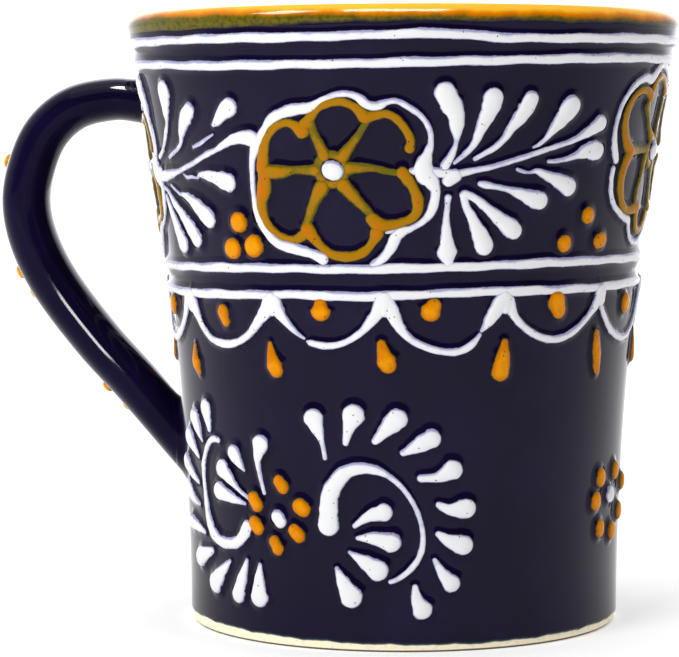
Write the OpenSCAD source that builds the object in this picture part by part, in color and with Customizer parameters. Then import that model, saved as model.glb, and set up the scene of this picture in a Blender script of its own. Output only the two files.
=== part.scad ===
// Flared mug of fired clay with dark glaze coats, an amber lip and raised slip decoration.
// Lengths are millimetres. The origin is the centre of the foot and +Z is up.
// The handle stands towards -X and the decorated front looks towards -Y.

/* [Cup] */
// Height from the table to the top of the lip
cup_h = 105; // [95:0.5:120]
// Diameter across the outside at the foot
foot_d = 74.4; // [68:0.2:80]
// Diameter across the outside at the lip
rim_d = 95.6; // [88:0.2:104]
// Thickness of the fired clay wall
wall_t = 4.5; // [3:0.1:5.5]
// Thickness of the clay floor
floor_t = 6; // [4:0.1:9]
// Radius of the rounded corner between floor and wall inside
floor_fillet_r = 8; // [5:0.1:12]
// Bevel around the bottom edge of the foot
foot_bevel = 0.6; // [0.3:0.05:1]

/* [Glaze] */
// Thickness of a fired glaze coat
glaze_t = 0.4; // [0.25:0.05:0.6]
// Height of the bare clay band above the table
bare_foot_h = 1.6; // [1.2:0.1:3]
// Depth of the amber band below the top of the lip
lip_band_h = 3.8; // [3.4:0.1:4.6]

/* [Handle] */
// Drop from the top of the lip to the middle of the upper joint
handle_top_drop = 15; // [13:0.5:18]
// Height of the middle of the lower joint
handle_low_z = 31; // [27:0.5:34]
// Largest distance from the wall to the middle line of the handle
handle_reach = 23.4; // [20:0.2:28]
// Width of the handle across its face
handle_w = 14; // [11:0.5:17]
// Thickness at the upper joint
handle_top_t = 7.4; // [6:0.1:9]
// Thickness where the handle stands out most
handle_mid_t = 8.8; // [7:0.1:10]
// Thickness at the lower joint
handle_low_t = 8; // [6.5:0.1:9.5]
// Spread of the luting slip around each joint
lute_spread = 1.2; // [0.6:0.1:2]

/* [Slip lines] */
// Height of a trailed bead above the glaze
bead_h = 0.7; // [0.4:0.05:1]
// Width of the encircling lines
line_w = 1.6; // [1.2:0.1:2.4]
// Drop from the top of the lip to the upper rim line
rim_line_drop = 5.1; // [5:0.1:6.5]
// Distance between the two lines of a pair
line_pitch = 4.05; // [3.6:0.05:5]
// Height of the upper waist line
waist_z = 62.9; // [58:0.1:66]
// Width of the fine trailed strokes
stroke_w = 1.2; // [0.9:0.05:1.5]
// Width of a leaf at its head
leaf_w = 3.2; // [2.4:0.1:3.6]

/* [Flowers and sprays] */
// Room between a flower and the lines above and below it
flower_gap = 0.8; // [0.5:0.1:2]
// Diameter of the white dot in a flower
flower_dot_d = 3.4; // [2.6:0.1:4]
// Room between a spray and the flowers beside it
spray_gap = 0.8; // [0.5:0.1:1.5]
// Diameter of the dots under a spray
triad_dot_d = 3.4; // [2.6:0.1:3.8]
// Height of a round dot above the glaze
dot_h = 1.1; // [0.7:0.05:1.4]

/* [Garland] */
// Drop from the lower waist line to the bottom of a swag
swag_drop = 8.4; // [7:0.1:9.5]
// Diameter of the dot in a swag
swag_dot_d = 3.4; // [2.6:0.1:4]
// Room between a waist line and what hangs from it
hang_gap = 0.4; // [0.2:0.05:0.8]
// Length of the drops under the swags
drop_l = 5.6; // [4:0.1:7]

/* [Scrolls and rosettes] */
// Room above and below the scrolls
scroll_gap = 2.6; // [1.5:0.1:4]
// Distance from the middle of a rosette to its dots
rosette_r = 5; // [4.6:0.1:6]
// Diameter of a rosette dot
rosette_dot_d = 3; // [2.2:0.1:3.2]

/* [Hidden] */

// Colours
clay = "#efe0b8";
navy = "#1d1a33";
amber = "#e0930f";
ochre = "#b8860b";
chalk = "#f4f3f0";

// Fineness of round shapes
round_fn = 180;
arc_fn = 2400;
dot_fn = 48;
deg = 180 / PI;

// A bead or a lute sits this far off the glaze that carries it
seat_gap = 0.1;

// Wall: an arc that is upright at the foot and flares to the lip
foot_r = foot_d / 2;
flare = (rim_d - foot_d) / 2;
wall_arc_r = (cup_h * cup_h + flare * flare) / (2 * flare);
arc_x = foot_r + wall_arc_r;
clay_outer_r = wall_arc_r + glaze_t;
clay_inner_r = clay_outer_r + wall_t;
clay_mid_r = clay_outer_r + wall_t / 2;
// Rounded corners are arcs that cross the faces they join at a shallow angle
lip_r_share = 0.56;
lip_r = wall_t * lip_r_share;
lip_z = cup_h - lip_r - glaze_t;
lip_centre = [arc_x - sqrt(clay_mid_r * clay_mid_r - lip_z * lip_z), lip_z];
lip_low_z = cup_h - lip_band_h;
fillet_seat_share = 0.96;
fillet_seat = floor_fillet_r * fillet_seat_share;
fillet_z = floor_t + fillet_seat;
fillet_centre = [arc_x - sqrt(clay_inner_r * clay_inner_r - fillet_z * fillet_z) - fillet_seat, fillet_z];

// Heights of the encircling lines and the panels between them
upper_rim_z = cup_h - rim_line_drop;
lower_rim_z = upper_rim_z - line_pitch;
lower_waist_z = waist_z - line_pitch;
panel_low_z = waist_z + line_w / 2 + flower_gap;
panel_top_z = lower_rim_z - line_w / 2 - flower_gap;
panel_mid_z = (panel_low_z + panel_top_z) / 2;
panel_half_h = (panel_top_z - panel_low_z) / 2;
panel_r = wall_r(panel_mid_z);
line_arc_r = (line_w * line_w / 4 + bead_h * bead_h) / (2 * bead_h);

// Flowers: angles around the cup; the first one lies under the upper joint of the handle
flower_angles = [-93, -15, 75, 165];
flower_count = len(flower_angles);
petal_count = 6;
petal_step = 360 / petal_count;
petal_seat_share = 0.5;
petal_sweep = 58;
petal_gap = 0.75;
outline_r_share = 0.5;
outline_sweep = 60;
spoke_tip_share = 0.56;
spoke_gap = 1.05;
arc_steps = 6;

// Sprays: u is a share of the room between two flowers, v a share of half the panel
spray_stem_shares = [[0.03, -0.03], [0.2, 0], [0.4, 0.11], [0.6, 0.23], [0.74, 0.33], [0.84, 0.45]];
spray_stem_width_shares = [0.4, 0.35, 0.3, 0.3, 0.45, 0.8];
// Each leaf: root u, root v, bend u, bend v, head u, head v
spray_leaf_shares = [
  [0.07, 0.09, 0.13, 0.4, 0.07, 0.8], [0.16, 0.18, 0.21, 0.4, 0.27, 0.74],
  [0.27, 0.17, 0.35, 0.35, 0.45, 0.73], [0.5, 0.3, 0.57, 0.42, 0.65, 0.68],
  [0.59, 0.08, 0.7, 0.12, 0.84, 0.18], [0.43, -0.01, 0.55, -0.06, 0.69, -0.18],
  [0.26, -0.13, 0.38, -0.2, 0.54, -0.33], [0.19, -0.24, 0.29, -0.4, 0.41, -0.62],
  [0.13, -0.34, 0.19, -0.5, 0.26, -0.77], [0.07, -0.27, 0.08, -0.5, 0.09, -0.82]];
triad_shares = [[0.8, -0.5], [0.68, -0.82], [0.91, -0.82]];
spray_stem_steps = 18;
leaf_steps = 4;
leaf_tail_share = 0.2;

// Garland
swag_count = 12;
swag_first_angle = -4;
swag_step = 360 / swag_count;
swag_steps = 9;
swag_band_r = wall_r(lower_waist_z);
swag_top = line_w / 2 + hang_gap + stroke_w;
swag_half_u = swag_step / 2 / deg * swag_band_r - stroke_w / 2 - hang_gap / 2;
drop_top_share = 0.9;
drop_head_share = 0.8;
garland_h = swag_drop * drop_top_share + drop_l + leaf_w;

// Scrolls: u is a share of the angle that one scroll fills, v a share of its height
scroll_angles = [-33, 166];
lone_rosette_angle = 66;
scroll_sweep = 30;
scroll_top_share = 1;
scroll_low_share = 0.8;
scroll_room = lower_waist_z - garland_h - bare_foot_h - 2 * scroll_gap;
scroll_unit_h = scroll_room / (scroll_top_share + scroll_low_share);
scroll_z = bare_foot_h + scroll_gap + scroll_low_share * scroll_unit_h;
scroll_band_r = wall_r(scroll_z);
scroll_unit_u = scroll_sweep / deg * scroll_band_r;
left_curl_shares = [[-0.67, 0.6], [-0.8, 0.57], [-0.91, 0.4], [-0.93, 0.2], [-0.9, 0],
  [-0.82, -0.17], [-0.68, -0.24], [-0.52, -0.23], [-0.44, -0.17]];
left_curl_width_shares = [0.3, 0.35, 0.4, 0.4, 0.5, 0.6, 0.65, 0.65, 0.6];
right_curl_shares = [[0.48, -0.02], [0.48, 0.14], [0.54, 0.31], [0.66, 0.42], [0.83, 0.44], [1, 0.37],
  [1.13, 0.23], [1.22, 0.05], [1.24, -0.14], [1.2, -0.31], [1.1, -0.42], [0.99, -0.47]];
right_curl_width_shares = [1, 0.95, 0.85, 0.7, 0.55, 0.4, 0.35, 0.3, 0.3, 0.3, 0.3, 0.3];
// Each leaf: root u, root v, head u, head v
scroll_outer_shares = [
  [-0.79, 0.7, -0.82, 0.86], [-0.95, 0.59, -1.03, 0.75], [-1.05, 0.43, -1.18, 0.56],
  [-1.09, 0.22, -1.28, 0.32], [-1.09, 0.02, -1.28, 0.09], [-1.02, -0.2, -1.24, -0.17],
  [-0.87, -0.36, -1.05, -0.43], [-0.6, -0.43, -0.76, -0.59], [-0.36, -0.41, -0.45, -0.64],
  [-0.19, -0.42, -0.2, -0.64], [0.45, 0.57, 0.37, 0.84], [0.63, 0.67, 0.7, 0.87],
  [0.88, 0.69, 1.03, 0.84], [1.11, 0.59, 1.29, 0.69], [1.25, 0.38, 1.46, 0.43],
  [1.39, 0.15, 1.6, 0.12], [1.39, -0.09, 1.57, -0.17], [1.36, -0.31, 1.47, -0.48],
  [1.19, -0.53, 1.24, -0.67], [0.55, -0.39, 0.66, -0.59]];
scroll_inner_shares = [
  [-0.35, 0.4, -0.45, 0.52], [-0.43, 0.22, -0.6, 0.36], [-0.4, 0.08, -0.66, 0.14],
  [-0.13, 0.42, -0.14, 0.6], [0.71, -0.01, 0.92, 0.08], [0.74, -0.13, 0.97, -0.15],
  [0.67, -0.25, 0.86, -0.36]];
scroll_leaf_width_share = 0.95;
rosette_count = 6;
lone_rosette_count = 7;
rosette_turn = 30;

// Handle: stand-off from the wall as a share of the reach, height as a share of the joints' distance
handle_route_shares = [[0, 1], [0.22, 1.01], [0.52, 0.985], [0.76, 0.915], [0.915, 0.815], [1, 0.705],
  [0.98, 0.59], [0.855, 0.46], [0.595, 0.3], [0.32, 0.165], [0, 0]];
handle_last = len(handle_route_shares) - 1;
upper_lute_share = 0.5;
lower_lute_share = 0.65;
handle_rings = 44;
handle_sides = 20;
slope_step_share = 0.01;
handle_span = cup_h - handle_top_drop - handle_low_z;
handle_route = [for (p = handle_route_shares)
  let (z = handle_low_z + p[1] * handle_span) [-wall_r(z) - p[0] * handle_reach, z]];
// Amber dots on the back of the handle in pairs: shares of the route and of a quarter turn across it
handle_dot_shares = [[0.41, 0.05], [0.49, 0.3], [0.65, 0.05], [0.685, 0.3], [0.87, 0.05], [0.91, 0.3]];
handle_dot_d = 2.2;
handle_dot_h = 0.8;
handle_mid_share = 0.5;
lute_neck_share = 0.67;
lute_core_share = 0.5;
wall_tries = 6;

// Cross-section of a trailed bead: across in half widths, up in bead heights, ending under its middle
bead_shares = [[-1, 0], [-0.6, 0.86], [0.6, 0.86], [1, 0], [0, 0]];
bead_sides = len(bead_shares);
round_end_shares = [0.6, 0.8];

function wall_r(z) = arc_x - sqrt(wall_arc_r * wall_arc_r - z * z);
function wall_slope(z) = z / sqrt(wall_arc_r * wall_arc_r - z * z);
function turned(r, a) = [r * cos(a), r * sin(a)];

// Point of the wall at u along a band and v above it, lifted off the glaze
// A band is its angle, height and radius
function wall_point(band, u, v, lift) =
  let (z = band[1] + v, a = band[0] + u / band[2] * deg, r = wall_r(z) + lift)
  [r * sin(a), -r * cos(a), z];

// Smooth curve through points, at place s counted in points
function spline_part(a, b, c, d, t) =
  (2 * b + (c - a) * t + (2 * a - 5 * b + 4 * c - d) * t * t + (3 * b - a - 3 * c + d) * t * t * t) / 2;
function spline_at(points, s) =
  let (last = len(points) - 1, i = max(0, min(floor(s), last - 1)))
  spline_part(points[max(i - 1, 0)], points[i], points[i + 1], points[min(i + 2, last)], s - i);

function unit_2d(v) = v / norm(v);
function across(path, i) =
  let (t = unit_2d(path[min(i + 1, len(path) - 1)] - path[max(i - 1, 0)])) [-t[1], t[0]];
function across_loop(path, i) =
  let (n = len(path), t = unit_2d(path[(i + 1) % n] - path[(i + n - 1) % n])) [-t[1], t[0]];

// One ring of a bead: its place on the band, its sideways direction and its half width
function bead_ring(band, place, side, half) =
  let (h = min(bead_h, half))
  [for (k = bead_shares) let (q = place + side * half * k[0])
    wall_point(band, q[0], q[1], seat_gap + k[1] * h)];

function ring_faces(rings, sides, closed) =
  [for (i = [0 : rings - (closed ? 1 : 2)], k = [0 : sides - 1], half = [0, 1])
    let (a = i * sides + k, b = i * sides + (k + 1) % sides,
         c = ((i + 1) % rings) * sides + (k + 1) % sides, d = ((i + 1) % rings) * sides + k)
    half == 0 ? [a, b, c] : [a, c, d]];
function fan_faces(first, sides, tip, flip) =
  [for (k = [0 : sides - 1]) let (a = first + k, b = first + (k + 1) % sides)
    flip ? [a, b, tip] : [b, a, tip]];

// A trailed stroke along a path on a band, pointed at its start and rounded at its end
module stroke(band, path, halves) {
  last = len(path) - 1;
  start_dir = unit_2d(path[0] - path[1]);
  end_dir = unit_2d(path[last] - path[last - 1]);
  tip_in = path[0] + start_dir * halves[0];
  tip_out = path[last] + end_dir * halves[last];
  rings = concat(
    [for (i = [0 : last]) bead_ring(band, path[i], across(path, i), halves[i])],
    [bead_ring(band, path[last] + end_dir * halves[last] * round_end_shares[0], across(path, last),
      halves[last] * round_end_shares[1])]);
  count = len(rings);
  points = concat([for (r = rings, p = r) p],
    [wall_point(band, tip_in[0], tip_in[1], seat_gap), wall_point(band, tip_out[0], tip_out[1], seat_gap)]);
  faces = concat(ring_faces(count, bead_sides, false),
    fan_faces(0, bead_sides, count * bead_sides, false),
    fan_faces((count - 1) * bead_sides, bead_sides, count * bead_sides + 1, true));
  polyhedron(points = points, faces = faces, convexity = 6);
}

// A trailed stroke that closes on itself
module loop_stroke(band, path, half) {
  rings = [for (i = [0 : len(path) - 1]) bead_ring(band, path[i], across_loop(path, i), half)];
  polyhedron(points = [for (r = rings, p = r) p], faces = ring_faces(len(rings), bead_sides, true),
    convexity = 12);
}

// A leaf pressed from a fine tail to a round head, bent over a middle point
module leaf(band, root, bend, head, width) {
  steps = [for (i = [0 : leaf_steps]) i / leaf_steps];
  path = [for (t = steps) root * (1 - t) * (1 - t) + 2 * bend * t * (1 - t) + head * t * t];
  halves = [for (t = steps) width / 2 * (leaf_tail_share + (1 - leaf_tail_share) * t)];
  stroke(band, path, halves);
}

// A round dot of slip, a slice of a ball on a flat base
module dome(d, h) {
  ball_r = (d * d / 4 + h * h) / (2 * h);
  rotate_extrude($fn = dot_fn) intersection() {
    translate([0, h - ball_r]) circle(r = ball_r, $fn = dot_fn);
    square([d, h]);
  }
}

// Places what stands on the wall at an angle and a height
module on_wall(angle, z) {
  rotate([0, 0, angle]) translate([0, -wall_r(z) - seat_gap, z]) rotate([90 + atan(wall_slope(z)), 0, 0])
    children();
}

module on_band(band, place) {
  on_wall(band[0] + place[0] / band[2] * deg, band[1] + place[1]) children();
}

// Half sections of the cup
module wall_disc(r) {
  translate([arc_x, 0]) circle(r = r, $fn = arc_fn);
}

// Hollow of the cup with a coat on it, rounded where the floor meets the wall
module hollow(coat) {
  intersection() {
    difference() {
      translate([0, floor_t + coat]) square([arc_x, cup_h]);
      wall_disc(clay_inner_r + coat);
    }
    union() {
      translate(fillet_centre) circle(r = floor_fillet_r - coat, $fn = round_fn);
      translate([0, fillet_z]) square([arc_x, cup_h]);
      square([fillet_centre[0], cup_h]);
    }
  }
}

// Cup with a coat on all its faces, rounded over at the lip
module cup_section(coat) {
  intersection() {
    difference() {
      square([arc_x, cup_h]);
      wall_disc(clay_outer_r - coat);
      hollow(coat);
    }
    union() {
      square([arc_x, lip_z]);
      translate(lip_centre) circle(r = lip_r + coat, $fn = round_fn);
    }
  }
}

module clay_section() {
  edge = foot_r - glaze_t;
  difference() {
    cup_section(0);
    polygon([[edge - foot_bevel, 0], [edge + foot_bevel, 0], [edge + foot_bevel, 2 * foot_bevel]]);
  }
}

module cup_body() {
  color(clay) rotate_extrude($fn = round_fn) clay_section();
}

module outer_glaze() {
  color(navy) rotate_extrude($fn = round_fn) intersection() {
    difference() {
      wall_disc(clay_outer_r);
      wall_disc(wall_arc_r);
    }
    translate([0, bare_foot_h]) square([arc_x, lip_low_z - bare_foot_h]);
  }
}

module inner_glaze() {
  color(navy) rotate_extrude($fn = round_fn) intersection() {
    difference() {
      hollow(0);
      hollow(glaze_t);
    }
    square([arc_x, lip_low_z]);
  }
}

module lip_glaze() {
  color(amber) rotate_extrude($fn = round_fn) intersection() {
    difference() {
      cup_section(glaze_t);
      cup_section(0);
    }
    translate([0, lip_low_z]) square([arc_x, lip_band_h]);
  }
}

// Handle: place, direction and thickness along its route
function handle_centre(s) = let (p = spline_at(handle_route, s)) [p[0], 0, p[1]];
function handle_along(s) =
  let (d = spline_at(handle_route, min(s + slope_step_share, handle_last))
         - spline_at(handle_route, max(s - slope_step_share, 0)),
       t = unit_2d(d))
  [t[0], 0, t[1]];
function handle_out(s) = let (t = handle_along(s)) [t[2], 0, -t[0]];
function handle_t(s) =
  lookup(s / handle_last, [[0, handle_top_t], [handle_mid_share, handle_mid_t], [1, handle_low_t]]);
function handle_face(s, turn) =
  handle_centre(s) + handle_out(s) * handle_t(s) / 2 * cos(turn) + [0, handle_w / 2 * sin(turn), 0];
function handle_ring(s) =
  [for (k = [0 : handle_sides - 1]) handle_face(s, k * 360 / handle_sides)];

// Moves a point along a direction until it meets the wall, by a few corrections
function to_wall(p, d, tries) =
  tries == 0 ? p :
  let (r = norm([p[0], p[1]]),
       miss = r - wall_r(p[2]) - seat_gap,
       rate = (d[0] * p[0] + d[1] * p[1]) / r - wall_slope(p[2]) * d[2])
  to_wall(p - d * miss / rate, d, tries - 1);

handle_start = upper_lute_share;
handle_end = handle_last - lower_lute_share;

module handle() {
  rings = [for (i = [0 : handle_rings])
    handle_ring(handle_start + (handle_end - handle_start) * i / handle_rings)];
  count = len(rings);
  points = concat([for (r = rings, p = r) p], [handle_centre(handle_start), handle_centre(handle_end)]);
  faces = concat(ring_faces(count, handle_sides, false),
    fan_faces(0, handle_sides, count * handle_sides, false),
    fan_faces((count - 1) * handle_sides, handle_sides, count * handle_sides + 1, true));
  color(navy) polyhedron(points = points, faces = faces, convexity = 8);
}

// Luting slip between a handle end and the wall, spreading where it meets the wall
module lute(s, way, flip) {
  d = handle_along(s) * way;
  base = handle_ring(s);
  middle = handle_centre(s);
  spread = [for (p = base) p + (p - middle) / norm(p - middle) * lute_spread];
  meet = [for (p = base) to_wall(p, d, wall_tries)];
  foot = [for (p = spread) to_wall(p, d, wall_tries)];
  neck = [for (k = [0 : handle_sides - 1]) base[k] + (meet[k] - base[k]) * lute_neck_share];
  inner = [for (p = spread) to_wall(middle + (p - middle) * lute_core_share, d, wall_tries)];
  rings = [base, neck, foot, inner];
  count = len(rings);
  points = concat([for (r = rings, p = r) p], [middle, to_wall(middle, d, wall_tries)]);
  faces = concat(ring_faces(count, handle_sides, false),
    fan_faces(0, handle_sides, count * handle_sides, false),
    fan_faces((count - 1) * handle_sides, handle_sides, count * handle_sides + 1, true));
  turned_faces = flip ? [for (f = faces) [f[0], f[2], f[1]]] : faces;
  color(navy) polyhedron(points = points, faces = turned_faces, convexity = 4);
}

module handle_upper_lute() {
  lute(handle_start, -1, true);
}

module handle_lower_lute() {
  lute(handle_end, 1, false);
}

module handle_dots() {
  color(amber) for (share = handle_dot_shares) {
    s = share[0] * handle_last;
    turn = share[1] * 90;
    out = handle_out(s);
    n = out * cos(turn) / handle_t(s) + [0, sin(turn) / handle_w, 0];
    lean = acos(n[2] / norm(n));
    heading = atan2(n[1], n[0]);
    translate(handle_face(s, turn) + n / norm(n) * seat_gap) rotate([0, lean, heading])
      dome(handle_dot_d, handle_dot_h);
  }
}

// Encircling lines: a bead of round section cut off along the slope of the wall
module line_ring(z) {
  color(chalk) rotate_extrude($fn = round_fn) intersection() {
    translate([wall_r(z) + bead_h - line_arc_r, z]) circle(r = line_arc_r, $fn = dot_fn);
    translate([wall_r(z) + seat_gap, z]) rotate(-atan(wall_slope(z))) translate([0, -line_w])
      square([line_w, 2 * line_w]);
  }
}

module upper_rim_line() {
  line_ring(upper_rim_z);
}

module lower_rim_line() {
  line_ring(lower_rim_z);
}

module upper_waist_line() {
  line_ring(waist_z);
}

module lower_waist_line() {
  line_ring(lower_waist_z);
}

// Garland under the waist lines
function swag_band(i) = [swag_first_angle + i * swag_step, lower_waist_z, swag_band_r];
function swag_middle(i) = [swag_first_angle + (i + 0.5) * swag_step, lower_waist_z, swag_band_r];

module garland_swags() {
  path = [for (i = [0 : swag_steps]) let (p = turned(1, 180 + i * 180 / swag_steps))
    [p[0] * swag_half_u, p[1] * (swag_drop - swag_top) - swag_top]];
  halves = [for (p = path) stroke_w / 2];
  color(chalk) for (i = [0 : swag_count - 1]) stroke(swag_middle(i), path, halves);
}

module garland_dots() {
  dot_v = -line_w / 2 - hang_gap - swag_dot_d / 2;
  color(amber) for (i = [0 : swag_count - 1]) on_band(swag_middle(i), [0, dot_v]) dome(swag_dot_d, dot_h);
}

module garland_drops() {
  root = [0, -swag_drop * drop_top_share];
  head = root - [0, drop_l];
  color(amber) for (i = [0 : swag_count - 1])
    leaf(swag_band(i), root, (root + head) / 2, head, leaf_w * drop_head_share);
}

// Flowers in the panel between the rim lines and the waist lines
joint_low_z = cup_h - handle_top_drop - handle_top_t / 2 - lute_spread - flower_gap;
full_reach = panel_half_h - stroke_w / 2;
joint_reach = (joint_low_z - panel_low_z) / 2 - stroke_w / 2;
outline_r = full_reach * outline_r_share;
petal_r = outline_r - stroke_w - petal_gap;
spoke_root_r = (flower_dot_d + stroke_w) / 2 + spoke_gap;
spoke_tip_r = full_reach * spoke_tip_share;
function flower_reach(i) = i == 0 ? min(full_reach, joint_reach) : full_reach;
// The flower under the joint is a smaller copy of the others, strokes and all
function flower_scale(i) = flower_reach(i) / full_reach;
function flower_half(i) = stroke_w / 2 * flower_scale(i);
function flower_band(i) =
  [flower_angles[i], panel_low_z + stroke_w / 2 + flower_reach(i), panel_r];
function scallop(i, k, r, angle) =
  flower_scale(i) * (turned(full_reach * petal_seat_share, (k + 0.5) * petal_step)
  + turned(r, (k + 0.5) * petal_step + angle));

module flower_outlines() {
  color(chalk) for (i = [0 : flower_count - 1])
    loop_stroke(flower_band(i), [for (k = [0 : petal_count - 1], j = [0 : arc_steps - 1])
      scallop(i, k, outline_r, outline_sweep * (2 * j / arc_steps - 1))], flower_half(i));
}

module flower_petals() {
  color(ochre) for (i = [0 : flower_count - 1], k = [0 : petal_count - 1])
    stroke(flower_band(i), [for (j = [0 : arc_steps])
      scallop(i, k, petal_r, petal_sweep * (2 * j / arc_steps - 1))],
      [for (j = [0 : arc_steps]) flower_half(i)]);
}

module flower_spokes() {
  color(ochre) for (i = [0 : flower_count - 1], k = [0 : petal_count - 1])
    stroke(flower_band(i), [for (r = [spoke_root_r, spoke_tip_r])
      turned(r * flower_scale(i), k * petal_step)], [flower_half(i), flower_half(i)]);
}

module flower_centres() {
  color(chalk) for (i = [0 : flower_count - 1])
    on_band(flower_band(i), [0, 0]) dome(flower_dot_d * flower_scale(i), dot_h);
}

// Sprays that grow from the right of each flower towards the next one
function flower_half_angle(i) = (flower_reach(i) + stroke_w / 2 + spray_gap) / panel_r * deg;
function next_angle(i) = flower_angles[(i + 1) % flower_count] + (i == flower_count - 1 ? 360 : 0);
function spray_start(i) = flower_angles[i] + flower_half_angle(i);
function spray_end(i) = next_angle(i) - flower_half_angle((i + 1) % flower_count);
function spray_room(i) = (spray_end(i) - spray_start(i)) / deg * panel_r;
function spray_band(i) = [spray_start(i), panel_mid_z, panel_r];
function spray_place(i, u, v) = [u * spray_room(i), v * panel_half_h];

module spray_stems() {
  places = [for (j = [0 : spray_stem_steps]) j / spray_stem_steps * (len(spray_stem_shares) - 1)];
  halves = [for (s = places) leaf_w / 2 * spline_at(spray_stem_width_shares, s)];
  color(chalk) for (i = [0 : flower_count - 1])
    stroke(spray_band(i), [for (s = places) let (p = spline_at(spray_stem_shares, s))
      spray_place(i, p[0], p[1])], halves);
}

module spray_leaves() {
  color(chalk) for (i = [0 : flower_count - 1], p = spray_leaf_shares)
    leaf(spray_band(i), spray_place(i, p[0], p[1]), spray_place(i, p[2], p[3]),
      spray_place(i, p[4], p[5]), leaf_w);
}

module triad_dots() {
  color(amber) for (i = [0 : flower_count - 1], p = triad_shares)
    on_band(spray_band(i), spray_place(i, p[0], p[1])) dome(triad_dot_d, dot_h);
}

// Scrolls and rosettes between the garland and the foot
function scroll_band(angle) = [angle, scroll_z, scroll_band_r];
function scroll_place(u, v) = [u * scroll_unit_u, v * scroll_unit_h];

module curl(angle, places, widths) {
  stroke(scroll_band(angle), [for (p = places) scroll_place(p[0], p[1])],
    [for (share = widths) leaf_w / 2 * share]);
}

module scroll_leaves(rows) {
  color(chalk) for (angle = scroll_angles, p = rows) {
    root = scroll_place(p[0], p[1]);
    head = scroll_place(p[2], p[3]);
    leaf(scroll_band(angle), root, (root + head) / 2, head, leaf_w * scroll_leaf_width_share);
  }
}

module scroll_curls() {
  color(chalk) for (angle = scroll_angles) {
    curl(angle, left_curl_shares, left_curl_width_shares);
    curl(angle, right_curl_shares, right_curl_width_shares);
  }
}

module scroll_outer_leaves() {
  scroll_leaves(scroll_outer_shares);
}

module scroll_inner_leaves() {
  scroll_leaves(scroll_inner_shares);
}

module dot_ring(angle, count) {
  for (k = [0 : count - 1])
    on_band(scroll_band(angle), turned(rosette_r, rosette_turn + k * 360 / count))
      dome(rosette_dot_d, dot_h);
}

module rosette_dots() {
  color(amber) {
    for (angle = scroll_angles) dot_ring(angle, rosette_count);
    dot_ring(lone_rosette_angle, lone_rosette_count);
  }
}

module rosette_centres() {
  color(chalk) for (angle = concat(scroll_angles, [lone_rosette_angle]))
    on_band(scroll_band(angle), [0, 0]) dome(rosette_dot_d, dot_h);
}

cup_body();
outer_glaze();
inner_glaze();
lip_glaze();
handle();
handle_upper_lute();
handle_lower_lute();
upper_rim_line();
lower_rim_line();
upper_waist_line();
lower_waist_line();
garland_swags();
garland_dots();
garland_drops();
flower_outlines();
flower_petals();
flower_spokes();
flower_centres();
spray_stems();
spray_leaves();
triad_dots();
scroll_curls();
scroll_outer_leaves();
scroll_inner_leaves();
rosette_dots();
rosette_centres();
handle_dots();
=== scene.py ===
import math

import bmesh
import bpy
import numpy as np
from bpy.props import FloatProperty, FloatVectorProperty, PointerProperty
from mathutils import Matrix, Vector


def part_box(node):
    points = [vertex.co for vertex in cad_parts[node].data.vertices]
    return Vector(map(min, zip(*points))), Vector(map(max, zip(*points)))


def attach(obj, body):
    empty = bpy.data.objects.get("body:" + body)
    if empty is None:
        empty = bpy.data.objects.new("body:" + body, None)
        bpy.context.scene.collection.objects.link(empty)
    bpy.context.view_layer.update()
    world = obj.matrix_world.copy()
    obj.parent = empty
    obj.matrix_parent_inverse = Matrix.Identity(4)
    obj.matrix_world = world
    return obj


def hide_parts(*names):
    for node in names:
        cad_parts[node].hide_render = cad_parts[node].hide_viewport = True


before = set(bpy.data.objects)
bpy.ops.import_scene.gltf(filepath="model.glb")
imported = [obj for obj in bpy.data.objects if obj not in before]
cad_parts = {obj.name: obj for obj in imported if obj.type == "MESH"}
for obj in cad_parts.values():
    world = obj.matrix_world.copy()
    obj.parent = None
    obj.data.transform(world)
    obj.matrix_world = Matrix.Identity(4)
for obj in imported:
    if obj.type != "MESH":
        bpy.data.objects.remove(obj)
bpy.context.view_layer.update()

bl_info = {
    "name": "Slip-trailed clay mug",
    "version": (1, 0, 0),
    "blender": (4, 5, 0),
    "location": "3D View > Sidebar > Mug",
    "description": "Glaze, raised slip and stage of a flared clay mug, built round its packed frame",
    "category": "Add Mesh",
}

MM = 0.001

# Strokes are rows of (across, up, half width), as shares of the motif's unit from the motif's own centre

FLOWER_OUTLINE_SHARES = (
    ((-.15, -.94, .065), (-.30, -.88, .055), (-.50, -.83, .065), (-.70, -.77, .06), (-.84, -.64, .055),
     (-.93, -.48, .05), (-.965, -.30, .035), (-.965, -.10, .035), (-.945, .10, .04), (-.90, .22, .06),
     (-.84, .33, .06), (-.76, .43, .045), (-.66, .55, .055), (-.52, .62, .06), (-.36, .66, .065),
     (-.20, .68, .055), (-.05, .76, .035), (.08, .81, .035), (.20, .815, .035), (.30, .78, .045),
     (.40, .70, .05), (.50, .69, .05), (.60, .73, .035), (.70, .735, .03), (.82, .67, .035),
     (.94, .58, .03), (1.02, .46, .03), (1.045, .36, .03), (1.03, .22, .04), (.97, .08, .07)),
    ((.84, 0, .03), (.92, 0, .06), (1.03, -.01, .06), (1.15, -.02, .05)),
    ((.97, -.01, .06), (1.04, -.08, .07), (1.10, -.20, .055), (1.09, -.33, .055), (1.05, -.45, .05),
     (.97, -.54, .035), (.85, -.61, .035), (.76, -.64, .05), (.68, -.70, .065), (.62, -.82, .06),
     (.53, -.93, .05), (.42, -1.0, .04)),
    ((.56, -.65, .02), (.68, -.64, .03), (.80, -.62, .025)),
    ((1.035, .30, .02), (1.01, .18, .055), (.975, .07, .095), (.985, -.03, .11), (1.05, -.10, .09),
     (1.10, -.20, .05)),
)
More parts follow.
